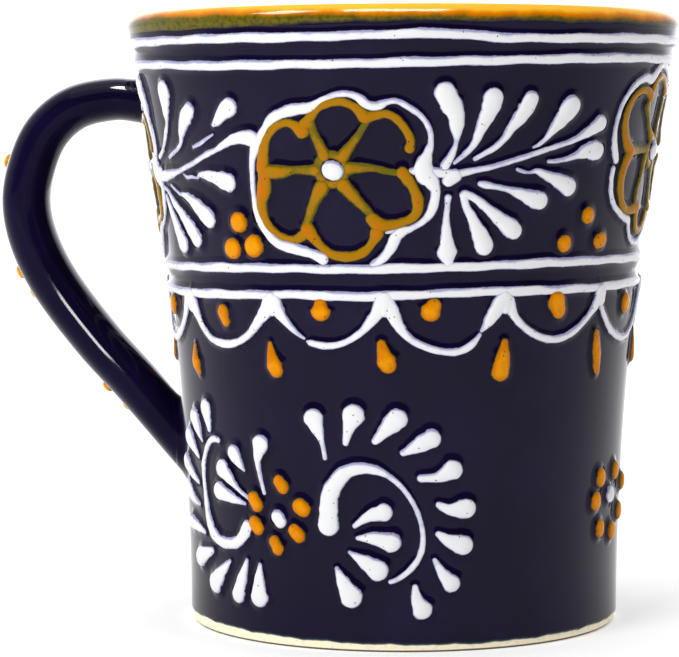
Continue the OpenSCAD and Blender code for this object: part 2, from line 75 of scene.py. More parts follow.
FLOWER_PETAL_SHARES = (
    ((-.27, .50, .07), (-.20, .58, .05), (-.12, .67, .045), (0, .72, .045), (.12, .735, .045),
     (.23, .70, .045), (.31, .64, .055), (.36, .58, .07)),
    ((.38, .57, .07), (.48, .59, .05), (.57, .605, .045), (.66, .575, .045), (.74, .50, .045),
     (.80, .41, .045), (.835, .32, .045), (.825, .24, .055)),
    ((.75, -.02, .07), (.80, -.08, .065), (.865, -.18, .055), (.91, -.30, .065), (.91, -.42, .06),
     (.85, -.50, .05), (.74, -.55, .05), (.62, -.575, .055), (.50, -.57, .08), (.42, -.51, .07)),
    ((.47, -.66, .08), (.42, -.76, .05), (.34, -.85, .052), (.22, -.905, .055), (.08, -.915, .055),
     (-.06, -.885, .05), (-.16, -.81, .05), (-.24, -.72, .065), (-.31, -.63, .09)),
    ((-.36, -.68, .06), (-.45, -.73, .05), (-.56, -.735, .045), (-.68, -.69, .045), (-.79, -.60, .055),
     (-.855, -.47, .06), (-.865, -.33, .07), (-.82, -.20, .09), (-.80, -.08, .085), (-.80, 0, .075)),
    ((-.82, .02, .07), (-.80, .12, .075), (-.77, .26, .06), (-.72, .37, .05), (-.65, .45, .05),
     (-.56, .50, .045), (-.46, .515, .045), (-.38, .48, .06), (-.31, .43, .085)),
)
FLOWER_SPOKE_SHARES = (
    ((-.08, .17, .075), (-.12, .27, .058), (-.155, .34, .052), (-.19, .43, .05), (-.22, .52, .055)),
    ((.12, .15, .072), (.19, .245, .055), (.28, .36, .04), (.35, .47, .035), (.385, .53, .035)),
    ((.19, .03, .072), (.29, .035, .055), (.45, .03, .04), (.60, -.005, .035), (.70, -.02, .035)),
    ((.12, -.15, .085), (.20, -.24, .07), (.30, -.35, .055), (.38, -.43, .045), (.41, -.47, .045)),
    ((-.12, -.17, .088), (-.185, -.27, .07), (-.25, -.40, .055), (-.30, -.52, .05), (-.32, -.60, .07)),
    ((-.19, .01, .07), (-.29, .01, .05), (-.43, .01, .045), (-.60, -.01, .075), (-.74, -.01, .08)),
)
FLOWER_CENTRE_SHARES = (((-.004, .017, .102), (.024, .007, .102)),)

SIDE_OUTLINE_SHARES = (
    ((-1.08, .10, .05), (-1.15, .25, .055), (-1.17, .40, .04), (-1.15, .55, .035), (-1.10, .70, .035),
     (-1.0, .84, .04), (-.87, .94, .045), (-.70, 1.0, .05), (-.55, .99, .06), (-.45, 1.05, .06),
     (-.35, 1.12, .05), (-.25, 1.15, .04), (-.10, 1.13, .04), (.05, 1.06, .04), (.15, .98, .05)),
    ((-1.11, 0, .04), (-1.12, -.12, .04), (-1.09, -.27, .04), (-1.0, -.40, .04), (-.85, -.49, .04),
     (-.70, -.55, .045), (-.60, -.58, .05), (-.55, -.68, .035), (-.47, -.78, .035), (-.35, -.83, .035),
     (-.20, -.82, .035), (-.05, -.75, .04), (.04, -.64, .05)),
    ((.15, .98, .05), (.35, 1.0, .05), (.55, .97, .05), (.72, .86, .045), (.82, .70, .04),
     (.86, .52, .04), (.84, .36, .045), (.78, .22, .06)),
    ((.80, .20, .06), (.87, .06, .045), (.88, -.12, .04), (.82, -.30, .04), (.70, -.43, .04),
     (.52, -.52, .045), (.34, -.56, .05), (.18, -.58, .05), (.04, -.64, .05)),
)
SIDE_PETAL_SHARES = (
    ((-.80, .20, .08), (-.90, .27, .075), (-.965, .37, .065), (-1.0, .48, .06), (-.995, .60, .055),
     (-.94, .72, .05), (-.84, .815, .045), (-.70, .865, .045), (-.56, .85, .055), (-.47, .80, .07)),
    ((-.80, .19, .08), (-.84, .13, .08), (-.885, .05, .075), (-.92, -.06, .07), (-.925, -.17, .07),
     (-.89, -.28, .06), (-.83, -.38, .06), (-.72, -.45, .05), (-.62, -.465, .05), (-.50, -.45, .065),
     (-.40, -.44, .075)),
    ((-.45, .84, .06), (-.37, .96, .05), (-.25, 1.02, .045), (-.12, 1.01, .045), (0, .95, .05),
     (.08, .86, .06)),
    ((.14, .86, .06), (.32, .88, .05), (.50, .85, .045), (.64, .76, .045), (.72, .62, .045),
     (.73, .46, .05), (.66, .30, .07)),
    ((.68, .12, .07), (.75, 0, .05), (.75, -.14, .05), (.66, -.28, .045), (.52, -.38, .045),
     (.34, -.43, .05), (.16, -.44, .07)),
    ((-.40, -.50, .06), (-.36, -.63, .05), (-.26, -.70, .045), (-.14, -.69, .045), (-.03, -.61, .05),
     (.03, -.52, .06)),
)
SIDE_SPOKE_SHARES = (
    ((-.82, .19, .075), (-.70, .195, .06), (-.57, .20, .045), (-.43, .205, .045), (-.31, .205, .065)),
    ((-.52, .70, .06), (-.42, .55, .045), (-.33, .43, .05), (-.245, .35, .07)),
    ((-.47, -.40, .05), (-.445, -.22, .045), (-.385, -.06, .05), (-.37, .06, .055), (-.35, .15, .06)),
    ((.04, .76, .05), (0, .60, .045), (-.05, .46, .05), (-.08, .38, .07)),
    ((.62, .20, .06), (.46, .20, .04), (.28, .20, .04), (.14, .20, .055), (.06, .20, .07)),
    ((.10, -.40, .06), (.06, -.22, .045), (0, -.06, .05), (-.05, .03, .07)),
)
SIDE_CENTRE_SHARES = (((-.125, .20, .11), (-.11, .20, .11)),)

RIGHT_STEM_SHARES = (
    ((1.24, -.10, .07), (1.31, -.05, .075)),
    ((1.10, -.02, .05), (1.22, -.03, .05), (1.35, -.03, .045), (1.50, 0, .035), (1.70, .035, .03),
     (1.90, .09, .03), (2.10, .145, .03), (2.30, .205, .03), (2.50, .26, .03), (2.70, .32, .035),
     (2.85, .39, .055), (2.97, .45, .075), (3.06, .505, .09)),
)
RIGHT_LEAF_SHARES = (
    ((1.20, .06, .05), (1.27, .18, .04), (1.31, .30, .025), (1.31, .45, .07), (1.295, .60, .095),
     (1.235, .72, .115), (1.18, .83, .11)),
    ((1.30, .085, .02), (1.40, .17, .03), (1.50, .28, .04), (1.55, .40, .055), (1.61, .55, .08),
     (1.66, .68, .105), (1.68, .77, .105)),
    ((1.52, .125, .025), (1.62, .18, .03), (1.74, .25, .035), (1.84, .35, .04), (1.90, .45, .055),
     (1.98, .55, .075), (2.05, .66, .095), (2.10, .76, .085)),
    ((2.19, .245, .015), (2.26, .28, .025), (2.34, .35, .03), (2.40, .43, .055), (2.49, .54, .09),
     (2.56, .63, .115), (2.61, .69, .11)),
    ((2.39, .09, .02), (2.50, .095, .025), (2.64, .12, .03), (2.76, .155, .045), (2.88, .20, .085),
     (3.0, .21, .11), (3.06, .205, .10)),
    ((2.01, .01, .02), (2.08, -.015, .02), (2.16, -.025, .015), (2.24, -.01, .03), (2.33, -.04, .045),
     (2.45, -.085, .065), (2.57, -.13, .09), (2.68, -.18, .105)),
    ((1.59, -.14, .03), (1.66, -.155, .04), (1.80, -.18, .03), (1.95, -.215, .04), (2.10, -.265, .07),
     (2.22, -.305, .095), (2.31, -.325, .105)),
    ((1.42, -.25, .045), (1.52, -.285, .045), (1.64, -.37, .05), (1.76, -.465, .065),
     (1.88, -.555, .09), (1.98, -.625, .105), (2.01, -.645, .10)),
    ((1.41, -.26, .045), (1.44, -.38, .045), (1.50, -.48, .055), (1.56, -.60, .075), (1.62, -.71, .10),
     (1.66, -.80, .11)),
    ((1.24, -.285, .04), (1.235, -.38, .03), (1.225, -.50, .037), (1.23, -.67, .06), (1.24, -.80, .09),
     (1.245, -.89, .11), (1.26, -.97, .06)),
)
RIGHT_TRIAD_SHARES = (
    ((3.03, -.50, .10), (3.04, -.50, .10)),
    ((2.70, -.80, .10), (2.705, -.80, .10)),
    ((3.27, -.79, .085), (3.32, -.78, .09)),
)

LEFT_STEM_SHARES = (
    ((-2.95, -.10, .06), (-2.80, -.08, .065), (-2.60, -.07, .065), (-2.40, -.045, .05),
     (-2.20, -.01, .03), (-2.05, .03, .03), (-1.90, .07, .03), (-1.75, .125, .03), (-1.60, .18, .035),
     (-1.45, .225, .03), (-1.30, .29, .045), (-1.15, .345, .06), (-1.0, .36, .08), (-.90, .34, .09)),
)
LEFT_LEAF_SHARES = (
    ((-2.86, .05, .05), (-2.90, .20, .04), (-2.90, .37, .045), (-2.93, .55, .06), (-2.97, .72, .09),
     (-3.03, .88, .11), (-3.05, .97, .10)),
    ((-2.75, .14, .03), (-2.60, .21, .03), (-2.50, .30, .03), (-2.40, .42, .035), (-2.34, .52, .03),
     (-2.31, .62, .06), (-2.28, .75, .095), (-2.26, .88, .12)),
    ((-2.42, .14, .025), (-2.30, .185, .025), (-2.18, .23, .025), (-2.08, .30, .03), (-2.03, .40, .05),
     (-1.96, .50, .08), (-1.87, .60, .10), (-1.80, .66, .09)),
    ((-1.84, .255, .02), (-1.70, .295, .025), (-1.60, .34, .02), (-1.48, .39, .012)),
    ((-1.44, .50, .03), (-1.36, .55, .06), (-1.27, .63, .085), (-1.17, .69, .105)),
    ((-2.15, -.04, .01), (-2.05, -.08, .02), (-1.95, -.075, .02), (-1.85, -.085, .015),
     (-1.78, -.05, .03), (-1.65, -.055, .055), (-1.50, -.08, .075), (-1.38, -.11, .10),
     (-1.30, -.13, .105)),
    ((-2.50, -.175, .02), (-2.40, -.22, .02), (-2.28, -.27, .02), (-2.20, -.275, .03),
     (-2.05, -.31, .055), (-1.90, -.39, .085), (-1.78, -.47, .105), (-1.69, -.53, .105)),
    ((-2.75, -.20, .03), (-2.60, -.25, .03), (-2.45, -.37, .05), (-2.30, -.47, .06),
     (-2.15, -.59, .085), (-2.05, -.68, .10), (-1.98, -.755, .10)),
    ((-2.70, -.30, .03), (-2.60, -.42, .05), (-2.50, -.56, .065), (-2.40, -.70, .09),
     (-2.32, -.82, .11)),
)
LEFT_TRIAD_SHARES = (
    ((-1.22, -.56, .115), (-1.20, -.56, .115)),
    ((-1.35, -.85, .12), (-1.33, -.85, .125)),
    ((-1.03, -.82, .125), (-1.01, -.81, .13)),
)

SCROLL_CURL_SHARES = (
    ((-.66, .605, .025), (-.74, .61, .03), (-.82, .565, .03), (-.89, .47, .03), (-.935, .36, .035),
     (-.935, .22, .03), (-.915, .08, .035), (-.88, -.06, .045), (-.81, -.18, .055), (-.70, -.245, .05),
     (-.58, -.255, .05), (-.46, -.235, .05), (-.37, -.165, .055), (-.32, -.09, .06)),
    ((.475, -.02, .09), (.48, .10, .08), (.49, .22, .075), (.545, .33, .07), (.63, .42, .06),
     (.74, .455, .05), (.86, .445, .04), (.97, .395, .025), (1.07, .31, .022), (1.15, .20, .02),
     (1.21, .08, .02), (1.245, -.06, .02), (1.245, -.18, .025), (1.21, -.29, .025), (1.13, -.39, .025),
     (1.04, -.455, .02), (.985, -.475, .02)),
)
SCROLL_OUTER_SHARES = (
    ((-.82, .87, .075), (-.80, .78, .055), (-.79, .69, .03)),
    ((-1.04, .77, .085), (-.99, .67, .055), (-.945, .58, .02)),
    ((-1.21, .59, .09), (-1.12, .51, .055), (-1.04, .43, .02)),
    ((-1.35, .36, .08), (-1.22, .28, .05), (-1.07, .205, .02)),
    ((-1.35, .14, .08), (-1.22, .07, .05), (-1.075, .02, .02)),
    ((-1.30, -.15, .07), (-1.15, -.17, .05), (-.98, -.21, .02)),
    ((-1.07, -.43, .09), (-.95, -.39, .06), (-.84, -.35, .03)),
    ((-.78, -.61, .095), (-.68, -.51, .06), (-.57, -.41, .02)),
    ((-.45, -.67, .075), (-.40, -.53, .055), (-.345, -.38, .02)),
    ((-.20, -.66, .09), (-.20, -.54, .06), (-.195, -.40, .02)),
    ((.37, .85, .085), (.43, .67, .025), (.455, .53, .02)),
    ((.70, .89, .095), (.66, .78, .05), (.63, .66, .025)),
    ((1.04, .86, .09), (.95, .77, .06), (.87, .68, .03)),
    ((1.31, .70, .08), (1.20, .64, .06), (1.09, .585, .025)),
    ((1.48, .44, .085), (1.37, .385, .045), (1.23, .375, .03)),
    ((1.60, .12, .085), (1.47, .115, .05), (1.375, .155, .025)),
    ((1.58, -.18, .085), (1.46, -.14, .055), (1.375, -.085, .025)),
    ((1.48, -.49, .075), (1.41, -.41, .045), (1.345, -.30, .02)),
    ((1.24, -.70, .085), (1.20, -.62, .05), (1.185, -.52, .025)),
    ((.66, -.60, .095), (.60, -.50, .06), (.54, -.38, .02)),
)
SCROLL_INNER_SHARES = (
    ((-.45, .52, .075), (-.40, .45, .05), (-.345, .38, .015)),
    ((-.61, .37, .085), (-.51, .29, .05), (-.41, .205, .02), (-.30, .15, .02)),
    ((-.67, .18, .08), (-.52, .14, .05), (-.35, .10, .015)),
    ((-.14, .61, .085), (-.18, .45, .03), (-.125, .21, .02)),
    ((.93, .095, .075), (.81, .06, .045), (.695, -.02, .02)),
    ((.99, -.15, .08), (.86, -.12, .055), (.72, -.12, .02)),
    ((.88, -.38, .09), (.77, -.31, .055), (.65, -.24, .015)),
)
ROSETTE_CENTRE_SHARES = (((.01, .02, .06), (.035, -.015, .06)),)
ROSETTE_DOT_SHARES = (
    ((.035, .315, .055), (.07, .27, .06)),
    ((.225, .12, .07), (.255, .10, .07)),
    ((.17, -.085, .06), (.21, -.125, .06)),
    ((-.03, -.19, .055), (.005, -.245, .058)),
    ((-.235, -.05, .065), (-.20, -.085, .065)),
    ((-.24, .155, .06), (-.20, .105, .065)),
)
LONE_CENTRE_SHARES = (((0, 0, .075), (.01, 0, .075)),)
LONE_DOT_SHARES = (
    ((-.21, .175, .075), (-.21, .155, .075)),
    ((.115, .205, .075), (.115, .185, .075)),
    ((.42, .08, .075), (.42, .06, .075)),
    ((-.28, -.015, .075), (-.28, -.035, .075)),
    ((.30, -.16, .075), (.30, -.18, .075)),
    ((-.19, -.26, .075), (-.19, -.28, .075)),
    ((.08, -.31, .075), (.08, -.33, .075)),
)

SWAG_SHARES = (
    ((-1.87, -.12, .07), (-1.80, -.24, .04), (-1.73, -.33, .03), (-1.62, -.40, .03),
     (-1.45, -.425, .035), (-1.30, -.40, .03), (-1.17, -.33, .032), (-1.06, -.22, .045),
     (-.985, -.14, .06), (-.955, -.07, .06)),
    ((-.90, -.07, .06), (-.87, -.14, .055), (-.80, -.235, .032), (-.72, -.31, .02), (-.66, -.35, .012)),
    ((-.63, -.375, .012), (-.60, -.385, .025), (-.47, -.405, .028), (-.33, -.38, .025),
     (-.20, -.305, .028), (-.11, -.21, .042), (-.05, -.13, .055), (-.025, -.06, .055)),
    ((.02, -.06, .055), (.05, -.13, .058), (.11, -.25, .042), (.20, -.35, .03), (.32, -.41, .03),
     (.45, -.445, .028), (.58, -.445, .03), (.68, -.395, .03), (.745, -.32, .015)),
    ((.76, -.29, .015), (.80, -.235, .038), (.86, -.145, .06), (.915, -.06, .065)),
    ((.97, -.06, .055), (1.0, -.13, .045), (1.05, -.205, .033), (1.15, -.29, .03), (1.28, -.355, .03),
     (1.42, -.38, .03), (1.55, -.36, .03), (1.68, -.30, .03), (1.80, -.21, .03), (1.88, -.12, .05),
     (1.93, -.03, .07)),
    ((1.97, -.15, .03), (2.05, -.25, .03), (2.15, -.34, .03), (2.30, -.40, .03), (2.45, -.42, .03),
     (2.60, -.39, .03), (2.75, -.30, .03), (2.85, -.20, .035), (2.90, -.10, .05)),
)
SWAG_CUSP_SHARES = (
    ((-1.90, -.06, .06), (-1.90, -.14, .06)),
    ((-.93, -.05, .06), (-.93, -.13, .055)),
    ((0, -.04, .065), (0, -.115, .06)),
    ((.94, -.04, .065), (.945, -.10, .06)),
    ((1.94, -.02, .06), (1.945, -.09, .055)),
)
SWAG_DOT_SHARES = (
    ((-1.45, -.17, .062), (-1.425, -.24, .05)),
    ((-.505, -.085, .055), (-.505, -.13, .083)),
    ((.372, -.09, .062), (.352, -.13, .084)),
    ((1.415, -.085, .085), (1.445, -.15, .07)),
    ((2.395, -.13, .075), (2.395, -.15, .075)),
    ((-2.355, -.145, .075), (-2.355, -.165, .075)),
)
SWAG_DROP_SHARES = (
    ((-1.935, -.46, .02), (-1.93, -.555, .05), (-1.915, -.615, .062), (-1.89, -.665, .04)),
    ((-.97, -.40, .02), (-.96, -.48, .043), (-.94, -.555, .07), (-.92, -.605, .067)),
    ((-.03, -.385, .035), (-.015, -.45, .055), (.005, -.51, .074), (.02, -.545, .07)),
    ((.955, -.385, .032), (.947, -.47, .055), (.935, -.55, .075), (.925, -.61, .077)),
    ((1.93, -.355, .033), (1.945, -.49, .055), (1.965, -.61, .05), (1.98, -.66, .035)),
)
BACK_SWAG_SHARES = (
    ((0, -.10, .05), (.10, -.25, .035), (.24, -.36, .03), (.40, -.42, .03), (.55, -.43, .03),
     (.70, -.39, .03), (.84, -.29, .03), (.94, -.17, .04), (1.0, -.06, .05)),
    ((.02, 0, .06), (.02, -.13, .05)),
)
BACK_DOT_SHARES = (((.50, -.12, .085), (.51, -.14, .085)),)
BACK_DROP_SHARES = (((.02, -.38, .02), (.02, -.50, .045), (.02, -.60, .065)),)
BACK_SWAGS = 7

# Route of the handle: stand-off as a share of its reach, height as a share of the joints' distance
HANDLE_ROUTE_SHARES = (
    (-.12, .985), (0, 1.0), (.22, 1.01), (.52, .985), (.76, .915), (.915, .815), (1.0, .705),
    (.98, .59), (.855, .46), (.595, .30), (.32, .165), (0, 0), (-.22, -.11),
)
# A dot's stroke, then the share of the route and of a quarter turn round the section of each dot
HANDLE_DOT_STROKE_SHARES = ((0, -.05, 1), (0, .05, 1))
HANDLE_DOT_SHARES = (
    (.305, .05), (.368, .55), (.484, .05), (.525, .20), (.738, .05), (.79, .20),
)
# How far each line strays from its height, in line widths, at shares of a full turn from the back
UPPER_RIM_SHARES = (
    (0, 0), (.30, 0), (.41, .03), (.445, -.03), (.47, .07), (.495, .20), (.51, .27), (.528, .33),
    (.542, -.07), (.567, -.20), (.60, -.13), (.65, .07), (.80, .10), (1.0, 0),
)
LOWER_RIM_SHARES = (
    (0, .10), (.33, .20), (.375, -.15), (.47, -.17), (.514, .03), (.542, .13), (.567, .23), (.60, .43),
    (.65, .65), (.80, .50), (1.0, .10),
)
UPPER_WAIST_SHARES = (
    (0, 0), (.20, -.30), (.30, -.43), (.41, -.03), (.467, -.03), (.50, .07), (.547, .23), (.60, .47),
    (.69, .42), (.80, .20), (1.0, 0),
)
LOWER_WAIST_SHARES = (
    (0, 0), (.20, -.30), (.333, -.53), (.39, -.37), (.43, -.13), (.467, -.30), (.503, -.10),
    (.547, .20), (.597, .13), (.645, .15), (.70, .30), (.80, .20), (1.0, 0),
)
# Edges of the coats, as shares of the lip band or the bare foot, at shares of a full turn from the back
LIP_BAND_SHARES = (
    (0, .95), (.15, 1.05), (.32, 1.12), (.39, 1.09), (.44, .94), (.467, .83), (.50, .80), (.56, .80),
    (.75, .78), (.90, .85), (1.0, .95),
)
LIP_AMBER_SHARES = (
    (0, .45), (.30, .30), (.34, .30), (.39, .35), (.44, .42), (.467, .46), (.50, .48), (.56, .50),
    (.75, .50), (1.0, .45),
)
FOOT_EDGE_SHARES = (
    (0, 1.0), (.20, 1.15), (.32, 1.25), (.40, 1.0), (.48, .80), (.55, .72), (.66, .85), (.80, 1.0),
    (1.0, 1.0),
)

# Strokes of a flower's parts, the slip of each part, and the record slot of each kind of slip
FLOWER = {
    "outlines": FLOWER_OUTLINE_SHARES, "petals": FLOWER_PETAL_SHARES,
    "spokes": FLOWER_SPOKE_SHARES, "centres": FLOWER_CENTRE_SHARES,
}
SIDE_FLOWER = {
    "outlines": SIDE_OUTLINE_SHARES, "petals": SIDE_PETAL_SHARES,
    "spokes": SIDE_SPOKE_SHARES, "centres": SIDE_CENTRE_SHARES,
}
FLOWER_KINDS = {"outlines": "white", "petals": "ochre", "spokes": "olive", "centres": "white"}
SLIP_SLOTS = {
    "white": "white_slip", "amber": "amber_slip", "lit_amber": "amber_slip",
    "ochre": "ochre_slip", "olive": "ochre_slip",
}

# Places of the motifs, in degrees from the front towards the right
SIDE_FLOWER_DEGREES = 75
FLOWER_DEGREES = (-92.5, -15, SIDE_FLOWER_DEGREES, 165)
SPRAY_DEGREES = FLOWER_DEGREES[1:]
GARLAND_DEGREES = -4.1
BACK_SWAG_DEGREES = 83.5
BACK_SWAG_STEP_DEGREES = 30.7
SCROLL_DEGREES = (-33.2, 166)
LONE_ROSETTE_DEGREES = 66.5
LONE_ROSETTE_RISE = 2 * MM

# Rows and columns of the grids
ROUND_COUNT = 256
RAGGED_COUNT = 720
WALL_ROWS = 60
LIP_ROWS = 16
LIP_EDGE_ROWS = 36
LIP_INSIDE_ROWS = 10
LIP_BACK_ROWS = 12
FLOOR_ROWS = 12
LINE_POINTS = 240
LINE_COUNT = 900
BEAD_COLUMNS = 11
CAP_RINGS = 10
FINE_STEPS = 12
HUB_POINTS = 9
STRAP_STEPS = 400
STRAP_ROWS = 180
STRAP_COLUMNS = 64
JOINT_COLUMNS = 72
JOINT_STEPS = 160
JOINT_ROWS = 12
STAGE_COUNT = 9
CARD_COLUMNS = 80
CARD_ROWS = 12
RING_STEP = .30 * MM
MERGE = .002 * MM

# Uneven edges: rows of (share of the depth, waves round the cup, phase)
FOOT_WAVE_SHARES = ((.04, 23, 0), (.03, 41, 1.0), (.02, 67, 2.0), (.012, 131, 0))
LIP_WAVE_SHARES = ((.025, 17, 0), (.015, 37, 1.3), (.01, 71, .4))
# Stretch to both sides, as a share of a full turn, over which a table of the turn is evened out
EVEN_SHARE = .012
EVEN_POINTS = 9

# The coats: small lengths at the foot and the lip, and shares of the sizes there
FOOT_FADE = .35 * MM
FOOT_BEVEL = .6 * MM
LIP_SKIN = .06 * MM
LIP_SKIN_RISE = 2.5
LIP_INSIDE_SHARE = .9
LIP_TURN_DEPTH = 15 * MM
LIP_TURN_CURVE = 1.5
COAT_TOP_SHARE = .25
# Inner faces of a coat, in coats below the finished face, and every how many rows they keep
COAT_DEPTH_SHARE = 1.5
COAT_ROW_STEP = 8
# Rows up the outside coat: close near the foot, even between, close again near the lip
NEAR_FOOT_SHARE = .02
NEAR_LIP_SHARE = .96
COAT_ROWS = (8, 44, 12)

# The bead of slip: columns of its skirt as shares of the reach, and how its dome and skirt curve
SKIRT_SHARES = (.12, .30, .52, .76, .95, 1.08, 1.25)
SKIRT_CURVE = 1.8
SKIRT_CAP_SHARE = .7
HEM_SHARE = .95
HEM_DIP_SHARE = .06
DOME_FLATNESS = 2.4
DOME_FULLNESS = .62
# Its underside below the wall, its least half width, and the waver of its width along a stroke
SUNK = .25 * MM
THINNEST = .1 * MM
LONG_WAVER = .50 * MM
SHORT_WAVER = .27 * MM
LONG_WAVER_SHARE = .03
SHORT_WAVER_SHARE = .02
# How far to both sides a stroke and the strap take their direction, counted in rows of their routes
STROKE_REACH = .2
STRAP_REACH = .02
# The ring of slip round a flower's centre, in shares of the flower's unit
HUB_SHARE = .155
HUB_HALF_SHARE = .05

# The strap: how much thinner it is near its two joints, and how square its section is
STRAP_NECK_SHARE = .16
STRAP_NECK_RUN_SHARE = .28
STRAP_TAIL_SHARE = .09
STRAP_SQUARENESS = 2.1
# The slip at the joints: where the strap meets the wall, and lengths and shares of the slip's spread
UPPER_JOINT_SHARES = (0.0, .2)
LOWER_JOINT_SHARES = (.7, 1.0)
UPPER_LUTE_SHARE = .45
LUTE_RISE = .012 * MM
LUTE_DEPTH = .5 * MM
LUTE_SINK_SHARE = .985
LUTE_HEM_SHARE = 1.2
HEM_SINK_SHARE = .998
CUFF_SHARE = 1.5
CUFF_DIP = .02 * MM

# Noise in cells per metre, and gloss as specular levels
NAVY_CLOUDS = 90.0
CLAY_GRAIN = 1500.0
LIP_CLOUDS = 420.0
LIP_GRAIN = 1300.0
SLIP_CLOUDS = 700.0
SLIP_GRAIN = 1100.0
SLIP_VEIL = 110.0
SLIP_PITS = 700.0
FLOOR_CLOUDS = 3.0
CARD_CLOUDS = 5.0
WALL_GLOSS = .12
HANDLE_GLOSS = .05
LIP_GLOSS = .10
SLIP_GLOSS = .06

# Lights in metres and watts: name, place, target, width, depth, watts, seen in the gloss
OVERHEAD = ("overhead", (0, -.1, 1.3), (0, 0, 0), 1.4, 1.4, 6, True)
FILL = ("fill", (-.55, -.75, .45), (0, 0, .04), .5, .4, 6, False)
# Lights seen only in the gloss: name, shape, place, target, width, depth, watts, then spread and
# turn in their own plane in degrees, and the pieces lit
STREAKS = (
    ("front_streak", "RECTANGLE", (-.03, -.35, .75), (0, -.04, .10), .40, .28, 20, 180, 0, ("lip_coat",)),
    ("arch_streak", "ELLIPSE", (.115, .007, .78), (.115, .03, .09), .53, .35, 80, 180, 0,
     ("strap_handle", "upper_joint")),
    ("leg_streak", "RECTANGLE", (-.0529, -.0869, .0546), (-.0551, -.007, .0513),
     .026, .0145, .0066, 33, 37, ("strap_handle",)),
    ("left_streak", "RECTANGLE", (-.46, -.23, .69), (0, -.04, .10), .20, .28, 10, 180, 0, ("lip_coat",)),
)
# Cards round the mug: first and last angle and fade in degrees, radius, lower and upper edge in metres
SCREEN = (-95, 100, 25, 1.1, .12, 1.6)
GLOW = (130, 230, 35, .6, .001, .5)
GLOW_STRENGTH = 3.0
# Half width of the floor in metres, and its own glow
FLOOR_HALF = 4
FLOOR_STRENGTH = .30
# The camera in metres and degrees, its lens and sensor in millimetres
CAMERA_PLACE = (0, -.499, .0853)
CAMERA_DEGREES = (86.009, .2, 1.26)
CAMERA_LENS = 151.8
CAMERA_SENSOR = 36.0
CAMERA_NEAR = .01


def height_of(node):
    """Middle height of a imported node, in metres."""
    low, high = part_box(node)
    return (low.z + high.z) / 2


def length(name, description, default):
    """A length property in metres."""
    return FloatProperty(name=name, description=description, default=default, unit="LENGTH")


def colour(name, description, default):
    """A colour property in linear red, green and blue."""
    return FloatVectorProperty(name=name, description=description, default=default, subtype="COLOR",
                               min=0, max=1)


class MugSizes(bpy.types.PropertyGroup):
    """Lengths of the mug, in metres, and the share that shapes the glaze round its slip."""

    cup_height: length("Cup height", "Height of the lip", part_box("lip_glaze")[1].z)
    foot_width: length("Foot width", "Diameter of the glazed wall at the foot", 0.0744)
    rim_width: length("Rim width", "Diameter of the glazed wall at the lip", 0.0956)
    lip_turn_out: length("Lip turn-out", "How far the lip turns out past the wall's arc", 0.0007)
    wall_thickness: length("Wall", "Thickness of the wall with its glaze", 0.0049)
    floor_thickness: length("Floor", "Height of the inside floor", 0.0064)
    floor_round: length("Floor round", "Radius between floor and inside wall", 0.008)
    glaze: length("Glaze", "Thickness of the glaze", 0.0004)
    bare_foot: length("Bare foot", "Usual height of the bare clay at the foot", 0.0016)
    lip_band: length("Lip band", "Greatest depth of the amber on the outside", 0.0038)
    line_width: length("Line width", "Width of the encircling lines", 0.0015)
    slip_height: length("Slip height", "Height that wide slip comes near", 0.0015)
    slip_spread: length("Slip spread", "Half width at which slip nears its height", 0.0013)
    skirt_reach: length("Skirt reach", "Reach of the glaze that climbs the widest slip", 0.00165)
    skirt_rise: FloatProperty(
        name="Skirt rise", description="Rise of that glaze, as a share of its reach", default=0.30)
    centre_lift: length("Centre lift", "Height that a flower's centre stands on its spokes", 0.00025)
    panel_unit: length("Flower unit", "Unit of the flowers and sprays", 0.015)
    panel_height: length("Flower height", "Height of the flowers' centres", 0.0786)
    garland_unit: length("Garland unit", "Unit of the garland", 0.021)
    scroll_unit: length("Scroll unit", "Unit of the scrolls and rosettes", 0.020)
    scroll_height: length("Scroll height", "Height of the rosette between the scrolls", 0.0213)
    handle_reach: length("Handle reach", "Stand-off of the handle's centre line", 0.0234)
    handle_top: length("Handle top", "Height of the upper joint", 0.090)
    handle_low: length("Handle foot", "Height of the lower joint", 0.031)
    handle_width: length("Handle width", "Width of the strap across", 0.014)
    handle_thickness: length("Handle thickness", "Thickness of the strap at its middle", 0.0088)
    handle_dot: length("Handle dot", "Radius of a dot on the handle", 0.0011)
    lute_spread: length("Joint spread", "Spread of the slip round the lower handle joint", 0.0024)


class MugColours(bpy.types.PropertyGroup):
    """Colours of the mug, in linear red, green and blue."""

    clay: colour("Clay", "Bare fired clay", (.98, .89, .66))
    navy: colour("Navy", "Dark glaze where it lies thick", (.0042, .0022, .0155))
    navy_thin: colour("Thin navy", "Dark glaze where it thins out", (.018, .065, .085))
    amber: colour("Amber", "Amber slip", (.52, .15, 0))
    # The light amber is partly painted shade: it lightens the thick middle of the amber dots.
    amber_light: colour("Light amber", "Amber slip where it lies thickest", (.72, .275, .001))
    lip_deep: colour("Deep lip", "Amber glaze low on the lip", (.70, .19, 0))
    # Painted highlight: the light lip colour is the lip's amber as lit from above; the handle dots reuse
    # it.
    lip_lit_top: colour("Light lip", "Amber glaze on top of the lip", (.97, .48, .012))
    ochre: colour("Ochre", "Amber slip in narrow strokes", (.345, .156, .002))
    orange: colour("Orange", "Amber slip where narrow strokes meet", (.50, .13, 0))
    olive: colour("Olive", "Amber where it thins out over the navy", (.12, .102, .006))
    white: colour("White", "White slip", (.745, .75, .765))
    lavender: colour("Lavender", "White slip where it thins out over the navy", (.33, .335, .53))
    floor: colour("Floor", "Plain pale floor", (.90, .90, .90))


